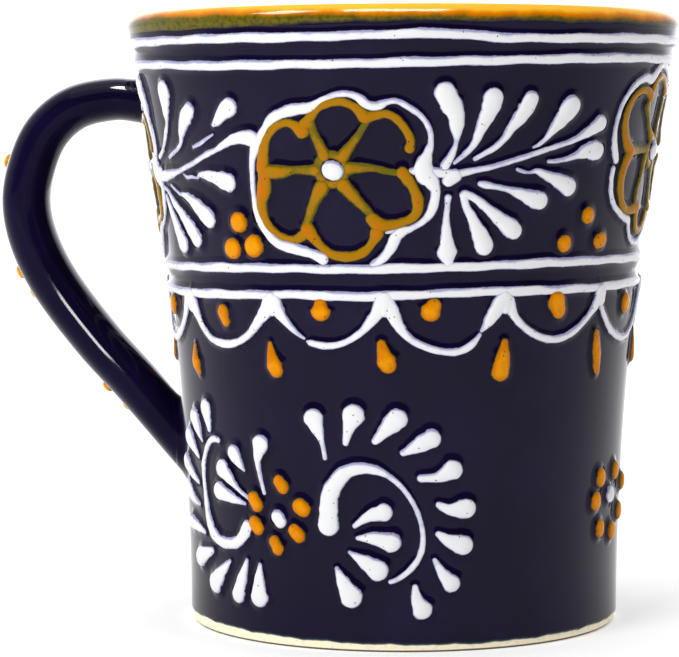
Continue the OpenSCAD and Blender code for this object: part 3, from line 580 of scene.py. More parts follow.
class Ink:
    """A socket in a node tree. Sums and products of inks and numbers add Math nodes to the tree."""

    def __init__(self, tree, socket=None):
        self.tree = tree
        self.socket = socket

    def node(self, kind, settings=None, sockets=None, output=0):
        """A new node of a type, with its settings, then the values or links of its sockets."""
        made = self.tree.nodes.new(kind)
        for name, value in (settings or {}).items():
            setattr(made, name, value)
        for key, value in (sockets or {}).items():
            if isinstance(value, Ink):
                self.tree.links.new(value.socket, made.inputs[key])
            else:
                made.inputs[key].default_value = value
        return Ink(self.tree, made.outputs[output]) if made.outputs else made

    def math(self, operation, first, second=0.0):
        """A Math node of two inks or numbers."""
        return self.node("ShaderNodeMath", {"operation": operation}, {0: first, 1: second})

    def __add__(self, other):
        return self.math("ADD", self, other)

    def __radd__(self, other):
        return self.math("ADD", other, self)

    def __sub__(self, other):
        return self.math("SUBTRACT", self, other)

    def __rsub__(self, other):
        return self.math("SUBTRACT", other, self)

    def __mul__(self, other):
        return self.math("MULTIPLY", self, other)

    def __rmul__(self, other):
        return self.math("MULTIPLY", other, self)

    def step(self, low, high):
        """This ink eased from 0 at low to 1 at high."""
        return self.node("ShaderNodeMapRange", {"interpolation_type": "SMOOTHSTEP"},
                         {"Value": self, "From Min": low, "From Max": high})

    def blend(self, first, second):
        """Two colours mixed by this ink."""
        return self.node("ShaderNodeMix", {"data_type": "RGBA"}, {0: self, 6: first, 7: second}, 2)

    def blend_shaders(self, first, second):
        """Two shaders mixed by this ink."""
        return self.node("ShaderNodeMixShader", None, {0: self, 1: first, 2: second})

    def surface(self, sockets):
        """A Principled shader with the values or links of its sockets."""
        return self.node("ShaderNodeBsdfPrincipled", None, sockets)

    def attribute(self, name):
        """A number carried by the points of the mesh."""
        return self.node("ShaderNodeAttribute", {"attribute_name": name}, None, "Fac")

    def noise(self, scale, detail=3.0, roughness=0.5):
        """Noise in object coordinates, in cells per metre."""
        place = self.node("ShaderNodeTexCoord", None, None, "Object")
        return self.node("ShaderNodeTexNoise", None,
                         {"Vector": place, "Scale": scale, "Detail": detail, "Roughness": roughness})

    def specks(self, scale):
        """Distance to scattered points in object coordinates, in cells."""
        place = self.node("ShaderNodeTexCoord", None, None, "Object")
        return self.node("ShaderNodeTexVoronoi", None, {"Vector": place, "Scale": scale}, "Distance")


def rgba(value, share=1):
    """A share of a colour property as a socket value."""
    return (*(part * share for part in value), 1.0)


def new_material(name):
    """An empty node material and the ink that adds to it."""
    made = bpy.data.materials.new(name)
    made.use_nodes = True
    made.node_tree.nodes.clear()
    return made, Ink(made.node_tree)


def close_material(ink, shader):
    """Joins a shader to a new material's output."""
    ink.node("ShaderNodeOutputMaterial", None, {"Surface": shader})


def navy_shader(ink, colours, gloss=WALL_GLOSS, thin=None):
    """Dark gloss glaze: navy, slightly clouded in colour and gloss, blue-green where the ink thin is 1."""
    clouds = ink.noise(NAVY_CLOUDS)
    tint = clouds.step(.35, .75).blend(rgba(colours.navy), rgba(colours.navy, 1.5))
    if thin is not None:
        tint = thin.blend(tint, rgba(colours.navy_thin))
    return ink.surface({"Base Color": tint, "Roughness": .05 + .05 * clouds, "Specular IOR Level": gloss})


def navy_material(name, gloss, colours):
    """Navy glaze of a gloss that thins to a blue-green line along the attribute edge."""
    made, ink = new_material(name)
    close_material(ink, navy_shader(ink, colours, gloss, ink.attribute("edge").step(.15, .75)))
    return made


def clay_material(colours):
    """Bare cream clay: fine grain and faint darker specks, and a painted contact shadow along the attribute
    edge.
    """
    made, ink = new_material("bare_clay")
    grain = ink.noise(CLAY_GRAIN, 4.0, .65)
    pale = grain.step(.25, .52).blend(rgba(colours.clay, .80), rgba(colours.clay))
    # Painted contact shadow: the clay darkens to a tenth of its colour on the foot's bevel as the edge
    # attribute rises.
    tint = ink.attribute("edge").step(.28, .62).blend(pale, rgba(colours.clay, .10))
    bump = ink.node("ShaderNodeBump", None, {"Height": grain, "Strength": .15, "Distance": .2 * MM})
    close_material(ink, ink.surface({"Base Color": tint, "Roughness": .75 + .15 * grain, "Normal": bump}))
    return made


def lip_material(colours):
    """Amber glaze: lighter on top of the lip as a painted highlight, deeper lower down, olive where the
    attribute body falls under 0, navy where the attribute edge nears 1."""
    made, ink = new_material("amber_gloss")
    clouds = ink.noise(LIP_CLOUDS, 4.0, .6)
    edge = ink.attribute("edge") + .30 * (clouds - .5)
    body = ink.attribute("body") + .20 * (clouds - .5)
    # Painted highlight: the amber turns light yellow towards the top of the lip.
    amber = body.step(.06, .30).blend(rgba(colours.lip_deep), rgba(colours.lip_lit_top))
    grain = ink.noise(LIP_GRAIN, 3.0, .6)
    olive = grain.step(.34, .58).blend(rgba(colours.olive, .55), rgba(colours.olive))
    tint = body.step(-.14, .12).blend(olive, amber)
    lip_shader = ink.surface({
        "Base Color": tint, "Roughness": .06 + .05 * clouds, "Specular IOR Level": LIP_GLOSS})
    close_material(ink, edge.step(.72, .98).blend_shaders(lip_shader, navy_shader(ink, colours)))
    return made


def slip_material(name, colours, tints, depths, veil, mottle):
    """Raised slip: a rim tint where it is thin, a core and a light tint where thick, navy beyond its edge;
    the lighter middle and darker edges are partly the slip's thickness and partly painted shade.
    Depths are where the core and the light tint begin and end, as shares of the greatest height.
    The veil is how much thinner the slip looks on its upper side, the mottle how much its depth varies."""
    made, ink = new_material(name)
    rim, core, light = tints
    clouds = ink.noise(SLIP_CLOUDS, 4.0, .6)
    grain = ink.noise(SLIP_GRAIN, 2.0)
    edge = ink.attribute("edge")
    square = edge * edge
    # The depth falls away towards the edge: partly the slip thinning there, partly painted shade that
    # lightens the middle and darkens the edges of each bead.
    depth = ink.attribute("body") * (1.1 - square * square) + mottle * (clouds - .5)
    thick = depth.step(depths[2], depths[3]).blend(rgba(core), rgba(light))
    upper = ink.attribute("upper").step(-.2, 1.0) * ink.noise(SLIP_VEIL, 2.0).step(.36, .60)
    tint = (depth - veil * upper).step(depths[0], depths[1]).blend(rgba(rim), thick)
    pit = (1 - ink.specks(SLIP_PITS).step(.06, .11)) * clouds.step(.38, .46)
    slip_shader = ink.surface({
        "Base Color": pit.blend(tint, rgba(colours.navy)),
        "Roughness": .14 + .10 * clouds, "Specular IOR Level": SLIP_GLOSS})
    beyond = (edge + .30 * (grain - .5)).step(.96, 1.04)
    close_material(ink, beyond.blend_shaders(slip_shader, navy_shader(ink, colours)))
    return made


def floor_material(colours):
    """Plain pale floor with the faintest cloud in it and a little glow of its own."""
    made, ink = new_material("stage_floor")
    tint = ink.noise(FLOOR_CLOUDS, 2.0).blend(rgba(colours.floor, .98), rgba(colours.floor))
    close_material(ink, ink.surface({
        "Base Color": tint, "Roughness": .9, "Specular IOR Level": 0.0,
        "Emission Color": tint, "Emission Strength": FLOOR_STRENGTH}))
    return made


def card_material(name, dark, light, glow):
    """Card of two clouded tints, matt or glowing by a strength, clear where the attribute edge is 1."""
    made, ink = new_material(name)
    tint = ink.noise(CARD_CLOUDS, 2.0).blend(rgba(dark), rgba(light))
    sockets = {"Base Color": tint, "Roughness": .9, "Specular IOR Level": 0.0}
    if glow:
        sockets = {"Base Color": (0, 0, 0, 1), "Specular IOR Level": 0.0,
                   "Emission Color": tint, "Emission Strength": glow}
    clear = ink.node("ShaderNodeBsdfTransparent")
    close_material(ink, ink.attribute("edge").step(0, 1).blend_shaders(ink.surface(sockets), clear))
    return made


def slip(kind):
    """The slip material of a kind, white, amber, golden, ochre or olive, made once."""
    colours = bpy.context.scene.mug_colours
    kinds = {
        "white": ((colours.lavender, colours.white, colours.white), (.06, .42, .45, .6), .36, .40),
        "amber": ((colours.olive, colours.amber, colours.amber_light), (.06, .36, .42, .90), .06, .60),
        # Painted light: the golden kind is a lighter copy of the amber for the handle dots, standing in for
        # light that wraps round them.
        "lit_amber": ((colours.amber, colours.amber_light, colours.lip_lit_top), (.02, .20, .30, .60), .06, .40),
        "ochre": ((colours.olive, colours.ochre, colours.orange), (.10, .40, .50, .78), .06, .45),
        "olive": ((colours.olive, colours.ochre, colours.orange), (.34, .60, .62, .90), .06, .45),
    }
    name = "trailed_" + kind
    return bpy.data.materials.get(name) or slip_material(name, colours, *kinds[kind])


def navy(name="navy_gloss", gloss=WALL_GLOSS):
    """A navy glaze material, made once."""
    return bpy.data.materials.get(name) or navy_material(name, gloss, bpy.context.scene.mug_colours)


class Patch:
    """A grid of points, the numbers edge, body and upper at each, and which of its two ways is closed."""

    def __init__(self, points, edge=0.0, body=1.0, upper=0.0, wrap_rows=False, wrap_columns=False):
        shape = points.shape[:2]
        self.points = points
        self.edge = np.broadcast_to(edge, shape)
        self.body = np.broadcast_to(body, shape)
        self.upper = np.broadcast_to(upper, shape)
        self.wrap_rows = wrap_rows
        self.wrap_columns = wrap_columns

    def cells(self, first):
        """Corner numbers of the grid's cells, counted from first."""
        rows, columns = self.points.shape[:2]
        index = first + np.arange(rows * columns).reshape(rows, columns)
        if self.wrap_rows:
            index = np.vstack([index, index[:1]])
        if self.wrap_columns:
            index = np.hstack([index, index[:, :1]])
        corners = (index[:-1, :-1], index[:-1, 1:], index[1:, 1:], index[1:, :-1])
        return np.stack(corners, axis=-1).reshape(-1, 4)


def build_mesh(name, patches, material):
    """One object from a list of patches, its doubles merged and its faces turned outward."""
    counts = [p.points.shape[0] * p.points.shape[1] for p in patches]
    firsts = np.concatenate([[0], np.cumsum(counts)[:-1]])
    points = np.concatenate([p.points.reshape(-1, 3) for p in patches])
    cells = np.concatenate([p.cells(first) for p, first in zip(patches, firsts)])
    mesh = bpy.data.meshes.new(name)
    mesh.from_pydata(points.tolist(), [], cells.tolist())
    for key in ("edge", "body", "upper"):
        values = np.concatenate([getattr(p, key).reshape(-1) for p in patches])
        layer = mesh.attributes.new(key, "FLOAT", "POINT")
        layer.data.foreach_set("value", values.astype(np.float32))
    work = bmesh.new()
    work.from_mesh(mesh)
    bmesh.ops.remove_doubles(work, verts=work.verts, dist=MERGE)
    bmesh.ops.recalc_face_normals(work, faces=work.faces)
    work.to_mesh(mesh)
    work.free()
    mesh.polygons.foreach_set("use_smooth", np.ones(len(mesh.polygons), bool))
    mesh.materials.append(material)
    made = bpy.data.objects.new(name, mesh)
    bpy.context.scene.collection.objects.link(made)
    return made


def add_piece(name, patches, material, slot, *nodes):
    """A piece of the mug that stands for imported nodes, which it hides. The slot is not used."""
    made = build_mesh(name, patches, material)
    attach(made, "root")
    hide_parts(*nodes)
    return made


def add_slip(name, strokes, kind, node):
    """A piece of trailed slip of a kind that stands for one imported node."""
    return add_piece(name, strokes, slip(kind), SLIP_SLOTS[kind], node)


def spline(rows, at):
    """Smooth curve through rows at places counted in rows: each span is the cubic set by four rows."""
    last = len(rows) - 1
    first = np.clip(np.floor(at).astype(int), 0, last - 1)
    t = (at - first)[:, None]
    index = np.clip(first[:, None] + np.arange(-1, 3), 0, last)
    a, b, c, d = (rows[index[:, k]] for k in range(4))
    return b + .5 * t * (c - a + t * (2 * a - 5 * b + 4 * c - d + t * (3 * (b - c) + d - a)))


def heading(rows, at, reach):
    """Unit direction of that curve in its first two ways, from reach behind each place to reach ahead."""
    ahead = spline(rows, np.minimum(at + reach, len(rows) - 1))
    behind = spline(rows, np.maximum(at - reach, 0))
    along = (ahead - behind)[:, :2]
    return along / np.linalg.norm(along, axis=1, keepdims=True)


def run_length(points):
    """Distance along a line of points, from 0 at the first."""
    return np.concatenate([[0], np.cumsum(np.hypot(*np.diff(points, axis=0).T))])


def steps(shares, at):
    """A table of (place, value) read at places in 0 to 1, evened out over a short stretch of the turn."""
    table = np.array(shares)
    spread = np.linspace(-EVEN_SHARE, EVEN_SHARE, EVEN_POINTS)
    return np.interp((at[:, None] + spread) % 1, table[:, 0], table[:, 1]).mean(axis=1)


def waves(shares, turn):
    """Sum of sines round the cup, each row giving its share, its count and its phase."""
    return sum(share * np.sin(count * turn + phase) for share, count, phase in shares)


class Wall:
    """Outside of the cup: an arc that stands upright at the foot and flares to the lip, which turns out
    a little more near the top, turned about Z."""

    def __init__(self, sizes):
        flare = (sizes.rim_width - sizes.foot_width) / 2
        self.foot = sizes.foot_width / 2
        self.arc = (sizes.cup_height ** 2 + flare ** 2) / (2 * flare)
        self.turn_out = sizes.lip_turn_out
        self.top = sizes.cup_height

    def radius(self, z):
        """Distance from the axis to the outside at a height."""
        near_lip = np.clip(1 - (self.top - z) / LIP_TURN_DEPTH, 0, 1)
        even = self.foot + self.arc - np.sqrt(self.arc ** 2 - np.square(z))
        return even + self.turn_out * near_lip ** LIP_TURN_CURVE

    def section(self, z, lift):
        """Radius and height of a place that stands off the wall along its normal."""
        lean = np.arcsin(z / self.arc)
        return self.radius(z) + lift * np.cos(lean), z - lift * np.sin(lean)

    def point(self, angle, z, lift):
        """Place at an angle from the front towards the right, a height and a stand-off."""
        r, height = self.section(z, lift)
        return np.stack(np.broadcast_arrays(r * np.sin(angle), -r * np.cos(angle), height), axis=-1)

    def onto(self, points):
        """Places moved level onto the wall."""
        angle = np.arctan2(points[..., 0], -points[..., 1])
        return self.point(angle, points[..., 2], 0.0)


class Band:
    """Carries a motif's plane onto the wall: across becomes an angle, up becomes height."""

    skirt = 1.0

    def __init__(self, wall, degrees, height, unit):
        self.wall = wall
        self.start = math.radians(degrees)
        self.height = height
        self.unit = unit
        self.turn = 1 / wall.radius(height)

    def place(self, across, up, lift):
        """Points on the wall for lengths across and up from the motif's centre."""
        return self.wall.point(self.start + across * self.turn, self.height + up, lift)


class Strap:
    """The handle: a rounded strap carried along a curve in the plane of X and Z."""

    def __init__(self, sizes, wall):
        route = np.array(HANDLE_ROUTE_SHARES)
        z = sizes.handle_low + route[:, 1] * (sizes.handle_top - sizes.handle_low)
        x = -wall.radius(z) - route[:, 0] * sizes.handle_reach
        self.rows = np.stack([x, z], axis=-1)
        self.fine = np.linspace(0, len(self.rows) - 1, STRAP_STEPS)
        self.walk = run_length(spline(self.rows, self.fine))
        self.length = self.walk[-1]
        self.half_width = sizes.handle_width / 2
        self.half_thickness = sizes.handle_thickness / 2

    def point(self, share, turn, lift):
        """Place on the strap: share of its length, turn round its section from the outer face, stand-off.
        The section is a rounded box, a circle at squareness 2, that is thinner near both joints."""
        share, turn, lift = np.broadcast_arrays(share, turn, lift)
        shape, share, turn, lift = share.shape, share.ravel(), turn.ravel(), lift.ravel()
        spot = np.interp(share * self.length, self.walk, self.fine)
        centre = spline(self.rows, spot)
        along = heading(self.rows, spot, STRAP_REACH)
        neck = STRAP_NECK_SHARE * np.exp(-np.square(share / STRAP_NECK_RUN_SHARE))
        thin = 1 - neck - STRAP_TAIL_SHARE * np.square(share)
        cosine, sine = np.cos(turn), np.sin(turn)
        box = np.abs(cosine) ** STRAP_SQUARENESS + np.abs(sine) ** STRAP_SQUARENESS
        squared = np.power(box, -1 / STRAP_SQUARENESS)
        normal = np.stack([cosine / self.half_thickness, sine / self.half_width], axis=-1)
        normal = normal / np.linalg.norm(normal, axis=1, keepdims=True)
        out = self.half_thickness * thin * squared * cosine + lift * normal[:, 0]
        side = self.half_width * squared * sine + lift * normal[:, 1]
        x = centre[:, 0] + along[:, 1] * out
        z = centre[:, 1] - along[:, 0] * out
        return np.stack([x, side, z], axis=-1).reshape(*shape, 3)


class Spot:
    """Carries a small motif's plane onto the strap's outer face, where little glaze climbs the slip."""

    skirt = .25

    def __init__(self, strap, share, turn, unit):
        self.strap = strap
        self.share = share
        self.turn = turn
        self.unit = unit

    def place(self, across, up, lift):
        """Points on the strap for lengths across and along it."""
        return self.strap.point(self.share + up / self.strap.length,
                                self.turn + across / self.strap.half_width, lift)


def bead(half, sizes, skirt):
    """Columns across a stroke for each half width: offset, height, edge and body. The bead is a flattened
    dome; a skirt of glaze, a share of its full reach, climbs it on both sides; the underside lies below
    the wall."""
    across = np.sin(np.linspace(-np.pi / 2, np.pi / 2, BEAD_COLUMNS))
    away = np.array(SKIRT_SHARES)
    half = half[:, None]
    tall = sizes.slip_height * (1 - np.exp(-half / sizes.slip_spread))
    reach = skirt * sizes.skirt_reach * np.sqrt(tall / sizes.slip_height)
    foot = np.minimum(sizes.skirt_rise * reach, SKIRT_CAP_SHARE * tall)
    dome = np.power(np.maximum(1 - np.abs(across) ** DOME_FLATNESS, 0), DOME_FULLNESS)
    climb = np.power(np.maximum(1 - away, 0), SKIRT_CURVE)
    climb = climb - HEM_DIP_SHARE * np.maximum(away - HEM_SHARE, 0)
    offset = np.hstack([-half - reach * away[::-1], half * across, half + reach * away,
                        half + reach, -half - reach])
    sunk = np.full_like(half, -SUNK)
    height = np.hstack([foot * climb[::-1], foot + (tall - foot) * dome, foot * climb, sunk, sunk])
    edge = np.hstack([1 + away[::-1], np.abs(across), 1 + away, [2.0, 2.0]])
    body = np.broadcast_to(tall / sizes.slip_height, offset.shape)
    return offset, height, np.broadcast_to(edge, offset.shape), body


def trail(rows, band, sizes, lift=0.0):
    """One stroke of slip: the columns of a bead carried along a smooth curve, with half-turn ends.
    Its width wavers along the way, each stroke by its own place. Lift raises it onto other slip."""
    rows = np.array(rows, float) * band.unit
    last = len(rows) - 1
    fine = np.linspace(0, last, FINE_STEPS * last + 1)
    walk = run_length(spline(rows, fine)[:, :2])
    run = np.linspace(0, walk[-1], max(int(walk[-1] / RING_STEP), 2))
    at = np.interp(run, walk, fine)
    path = spline(rows, at)
    phase = (rows[0, 0] + 2 * rows[0, 1]) / MM
    long_waver = LONG_WAVER_SHARE * np.sin(run / LONG_WAVER + phase)
    short_waver = SHORT_WAVER_SHARE * np.sin(run / SHORT_WAVER + 2 * phase)
    half = np.maximum(path[:, 2] * (1 + long_waver + short_waver), THINNEST)
    along = heading(rows, at, STROKE_REACH)
    aside = np.stack([-along[:, 1], along[:, 0]], axis=-1)
    offset, height, edge, body = bead(half, sizes, band.skirt)
    flat = path[:, None, :2] + offset[..., None] * aside[:, None]
    turn = np.linspace(0, np.pi / 2, CAP_RINGS + 1)[1:, None, None]
    start = (path[0, :2] + np.cos(turn) * offset[0][:, None] * aside[0]
             - np.sin(turn) * np.abs(offset[0])[:, None] * along[0])
    end = (path[-1, :2] + np.cos(turn) * offset[-1][:, None] * aside[-1]
           + np.sin(turn) * np.abs(offset[-1])[:, None] * along[-1])
    flat = np.concatenate([start[::-1], flat, end])
    height, edge, body, path = (
        np.concatenate([np.repeat(a[:1], CAP_RINGS, 0), a, np.repeat(a[-1:], CAP_RINGS, 0)])
        for a in (height, edge, body, path))
    upper = (flat[..., 1] - path[:, None, 1]) / path[:, None, 2]
    points = band.place(flat[..., 0], flat[..., 1], height + lift)
    return Patch(points, edge, body, upper, wrap_columns=True)


def trails(strokes, bands, sizes, lift=0.0):
    """The patches of a motif's strokes on each of its bands."""
    return [trail(rows, band, sizes, lift) for band in bands for rows in strokes]


def add_motifs(sizes, pieces):
    """Pieces of slip from rows of (name, kind, node, pairs), each pair a motif's strokes and its bands."""
    for name, kind, node, pairs in pieces:
        strokes = [patch for motif, bands in pairs for patch in trails(motif, bands, sizes)]
        add_slip(name, strokes, kind, node)


def ring_line(rows, band, sizes):
    """A stroke that runs right round the cup: its rows end one step short of where they begin."""
    whole = 2 * np.pi / band.turn
    before, after = rows[-2:] - [whole, 0, 0], rows[:2] + [whole, 0, 0]
    at = np.linspace(2, len(rows) + 2, LINE_COUNT, endpoint=False)
    path = spline(np.concatenate([before, rows, after]), at)
    slope = np.gradient(path[:, 1]) / np.gradient(path[:, 0])
    aside = np.stack([-slope, np.ones_like(slope)], axis=-1)
    aside = aside / np.linalg.norm(aside, axis=1, keepdims=True)
    offset, height, edge, body = bead(path[:, 2], sizes, band.skirt)
    flat = path[:, None, :2] + offset[..., None] * aside[:, None]
    upper = offset / path[:, None, 2]
    return Patch(band.place(flat[..., 0], flat[..., 1], height), edge, body, upper, True, True)


def hub(across, up):
    """A round stroke about a flower's centre, in shares of the flower's unit."""
    turn = np.linspace(0, 2 * np.pi, HUB_POINTS)
    half = np.full(turn.shape, HUB_HALF_SHARE)
    return np.stack([across + HUB_SHARE * np.cos(turn), up + HUB_SHARE * np.sin(turn), half], axis=-1)


def round_about(section, count):
    """Sections of (radius, height), one for all angles or one for each, turned about Z."""
    angle = np.linspace(0, 2 * np.pi, count, endpoint=False)[:, None]
    r, z = section[..., 0], section[..., 1]
    return np.stack(np.broadcast_arrays(-r * np.sin(angle), r * np.cos(angle), z), axis=-1)


def lip_arc(sizes, wall, coat, turn):
    """Half-round lip, turn 0 on the outside to a half turn on the inside, coat inside the finished face."""
    round_r = sizes.wall_thickness / 2
    z = sizes.cup_height - round_r
    middle = wall.radius(z) - round_r
    bare = round_r - coat
    return np.stack([middle + bare * np.cos(turn), z + bare * np.sin(turn)], axis=-1)


def outside_path(sizes, wall, z, lift):
    """Outside of the cup at heights up to the top of the lip: the wall, then the half-round lip."""
    round_r = sizes.wall_thickness / 2
    start = sizes.cup_height - round_r
    over = np.clip((z - start) / round_r, 0, 1)
    lip = wall.radius(start) - round_r + (round_r + lift) * np.sqrt(1 - np.square(over))
    return np.stack([np.where(z > start, lip, wall.radius(z) + lift), z + lift * over], axis=-1)


def inside_path(sizes, wall, coat):
    """Inside of the cup from the lip down the wall and round to the middle of the floor."""
    round_r = sizes.floor_round
    top = sizes.cup_height - sizes.wall_thickness / 2
    low = sizes.floor_thickness - coat
    z = np.linspace(top, low + round_r, WALL_ROWS)
    down = np.stack([wall.radius(z) - sizes.wall_thickness + coat, z], axis=-1)
    turn = np.linspace(0, np.pi / 2, LIP_ROWS)[1:]
    centre = down[-1, 0] - round_r
    bend = np.stack([centre + round_r * np.cos(turn), low + round_r - round_r * np.sin(turn)], axis=-1)
    r = np.linspace(bend[-1, 0], 0, FLOOR_ROWS)[1:]
    flat = np.stack([r, np.full(r.shape, low)], axis=-1)
    return np.concatenate([down, bend, flat])


class MUG_OT_clay(bpy.types.Operator):
    """Turns the clay cup: foot with a small bevel, wall, rounded lip, inside and floor."""

    bl_idname = "mug.clay"
    bl_label = "Clay cup"

    def execute(self, context):
        sizes = context.scene.mug_sizes
        wall = Wall(sizes)
        coat = sizes.glaze
        z = np.linspace(FOOT_BEVEL, sizes.cup_height - sizes.wall_thickness / 2, WALL_ROWS)
        outside = np.stack([wall.radius(z) - coat, z], axis=-1)
        foot = np.array([[0, 0], [wall.foot - coat - FOOT_BEVEL, 0]])
        lip = lip_arc(sizes, wall, coat, np.linspace(0, np.pi, LIP_ROWS)[1:-1])
        section = np.concatenate([foot, outside, lip, inside_path(sizes, wall, coat)])
        # The edge attribute of the clay marks the painted contact shadow on the foot's bevel.
        painted_foot_shadow = np.clip(1 - section[:, 1] / FOOT_BEVEL, 0, 1)[None]
        patch = Patch(round_about(section[None], ROUND_COUNT), painted_foot_shadow, wrap_rows=True)
        add_piece("clay_cup", [patch], clay_material(context.scene.mug_colours), "clay", "cup_body")
        return {"FINISHED"}


class MUG_OT_glazes(bpy.types.Operator):
    """Coats the cup: navy outside down to a ragged edge above the foot, and navy inside."""

    bl_idname = "mug.glazes"
    bl_label = "Navy coats"

    def execute(self, context):
        sizes = context.scene.mug_sizes
        wall = Wall(sizes)
        share = np.linspace(0, 1, RAGGED_COUNT, endpoint=False)
        ragged = waves(FOOT_WAVE_SHARES, 2 * np.pi * share)
        low = (sizes.bare_foot * (steps(FOOT_EDGE_SHARES, share) + ragged))[:, None]
        top = sizes.cup_height - COAT_TOP_SHARE * sizes.wall_thickness
        near_foot = np.linspace(0, NEAR_FOOT_SHARE, COAT_ROWS[0])
        between = np.linspace(NEAR_FOOT_SHARE, NEAR_LIP_SHARE, COAT_ROWS[1])
        near_lip = np.linspace(NEAR_LIP_SHARE, 1, COAT_ROWS[2])
        up = np.concatenate([near_foot[:-1], between[:-1], near_lip])
        z = low + (top - low) * up
        roll = sizes.glaze * np.sqrt(1 - np.square(np.clip(1 - (z - low) / sizes.glaze, 0, 1)))
        outside = outside_path(sizes, wall, z, roll - sizes.glaze)
        under = outside_path(sizes, wall, z, -COAT_DEPTH_SHARE * sizes.glaze)[:, ::-COAT_ROW_STEP]
        edge = np.hstack([np.exp(-(z - low) / FOOT_FADE), np.zeros(under.shape[:2])])
        section = np.concatenate([outside, under], axis=1)
        patch = Patch(round_about(section, RAGGED_COUNT), edge, wrap_rows=True, wrap_columns=True)
        add_piece("outside_glaze", [patch], navy(), "navy_glaze", "outer_glaze")
        within = inside_path(sizes, wall, 0.0)
        behind = inside_path(sizes, wall, COAT_DEPTH_SHARE * sizes.glaze)[::-1]
        section = np.concatenate([within, behind])[None]
        patch = Patch(round_about(section, ROUND_COUNT), wrap_rows=True, wrap_columns=True)
        add_piece("inside_glaze", [patch], navy(), "navy_glaze", "inner_glaze")
        return {"FINISHED"}


class MUG_OT_lip(bpy.types.Operator):
    """Coats the lip in amber: over the half-round lip, down to an uneven edge outside, a little inside."""

    bl_idname = "mug.lip"
    bl_label = "Amber lip"

    def execute(self, context):
        sizes = context.scene.mug_sizes
        wall = Wall(sizes)
        share = np.linspace(0, 1, RAGGED_COUNT, endpoint=False)
        ragged = waves(LIP_WAVE_SHARES, 2 * np.pi * share)
        depth = (sizes.lip_band * (steps(LIP_BAND_SHARES, share) + ragged))[:, None]
        amber = (sizes.lip_band * (steps(LIP_AMBER_SHARES, share) + ragged))[:, None]
        up = np.sin(np.linspace(0, np.pi / 2, LIP_EDGE_ROWS))
        z = (sizes.cup_height - depth) + depth * up
        outside = outside_path(sizes, wall, z, LIP_SKIN * np.minimum(up * LIP_SKIN_RISE, 1))
        over = lip_arc(sizes, wall, -LIP_SKIN, np.linspace(np.pi / 2, np.pi, LIP_ROWS)[1:])
        start = sizes.cup_height - sizes.wall_thickness / 2
        low = sizes.cup_height - LIP_INSIDE_SHARE * sizes.lip_band
        inner_z = np.linspace(start, low, LIP_INSIDE_ROWS)[1:]
        inside = np.stack([wall.radius(inner_z) - sizes.wall_thickness - LIP_SKIN, inner_z], axis=-1)
        back = lip_arc(sizes, wall, COAT_DEPTH_SHARE * sizes.glaze, np.linspace(np.pi, 0, LIP_BACK_ROWS))
        closing = np.concatenate([over, inside, back])
        closing = np.broadcast_to(closing, (RAGGED_COUNT, *closing.shape))
        section = np.concatenate([outside, closing], axis=1)
        height = section[..., 1]
        edge = np.where(np.arange(height.shape[1]) < len(up), 1 - (height - z[:, :1]) / depth, 0)
        body = (amber - sizes.cup_height + height) / sizes.lip_band
        patch = Patch(round_about(section, RAGGED_COUNT), edge, body, wrap_rows=True, wrap_columns=True)
        add_piece("lip_coat", [patch], lip_material(context.scene.mug_colours), "amber_glaze", "lip_glaze")
        return {"FINISHED"}


def sink(points, share):
    """Places moved level towards the axis, to a share of their distance from it."""
    return points * np.array([share, share, 1.0])


def joint(strap, wall, spread, between, rising):
    """Ring of slip round a joint, sought between two shares of the strap's length, where the strap leaves
    the wall if rising and comes back to it if not: from the strap to the wall along the curve of the
    second degree that has the crease as its control."""
    turn = np.linspace(0, 2 * np.pi, JOINT_COLUMNS, endpoint=False)
    share = np.linspace(*between, JOINT_STEPS)[:, None]
    places = strap.point(share, turn[None], 0.0)
    outside = np.hypot(places[..., 0], places[..., 1]) - wall.radius(places[..., 2]) > 0
    hit = np.argmax(outside, axis=0) if rising else len(share) - 1 - np.argmax(outside[::-1], axis=0)
    meet = share[hit, 0]
    away = (1 if rising else -1) * spread / strap.length
    crease = wall.onto(strap.point(meet, turn, 0.0))
    upper = strap.point(meet + away, turn, LUTE_RISE)
    lower = wall.onto(strap.point(meet, turn, spread))
    t = np.linspace(0, 1, JOINT_ROWS)[None, :, None]
    curve = (1 - t) ** 2 * upper[:, None] + 2 * t * (1 - t) * crease[:, None] + t ** 2 * lower[:, None]
    hem = sink(wall.onto(strap.point(meet, turn, LUTE_HEM_SHARE * spread)), HEM_SINK_SHARE)
    sunk = np.stack([hem, sink(lower, LUTE_SINK_SHARE), sink(crease, LUTE_SINK_SHARE)], axis=1)
    inner = strap.point(meet + away, turn, -LUTE_DEPTH)[:, None]
    cuff = strap.point(meet + CUFF_SHARE * away, turn, -CUFF_DIP)[:, None]
    return Patch(np.concatenate([cuff, curve, sunk, inner], axis=1), wrap_rows=True, wrap_columns=True)


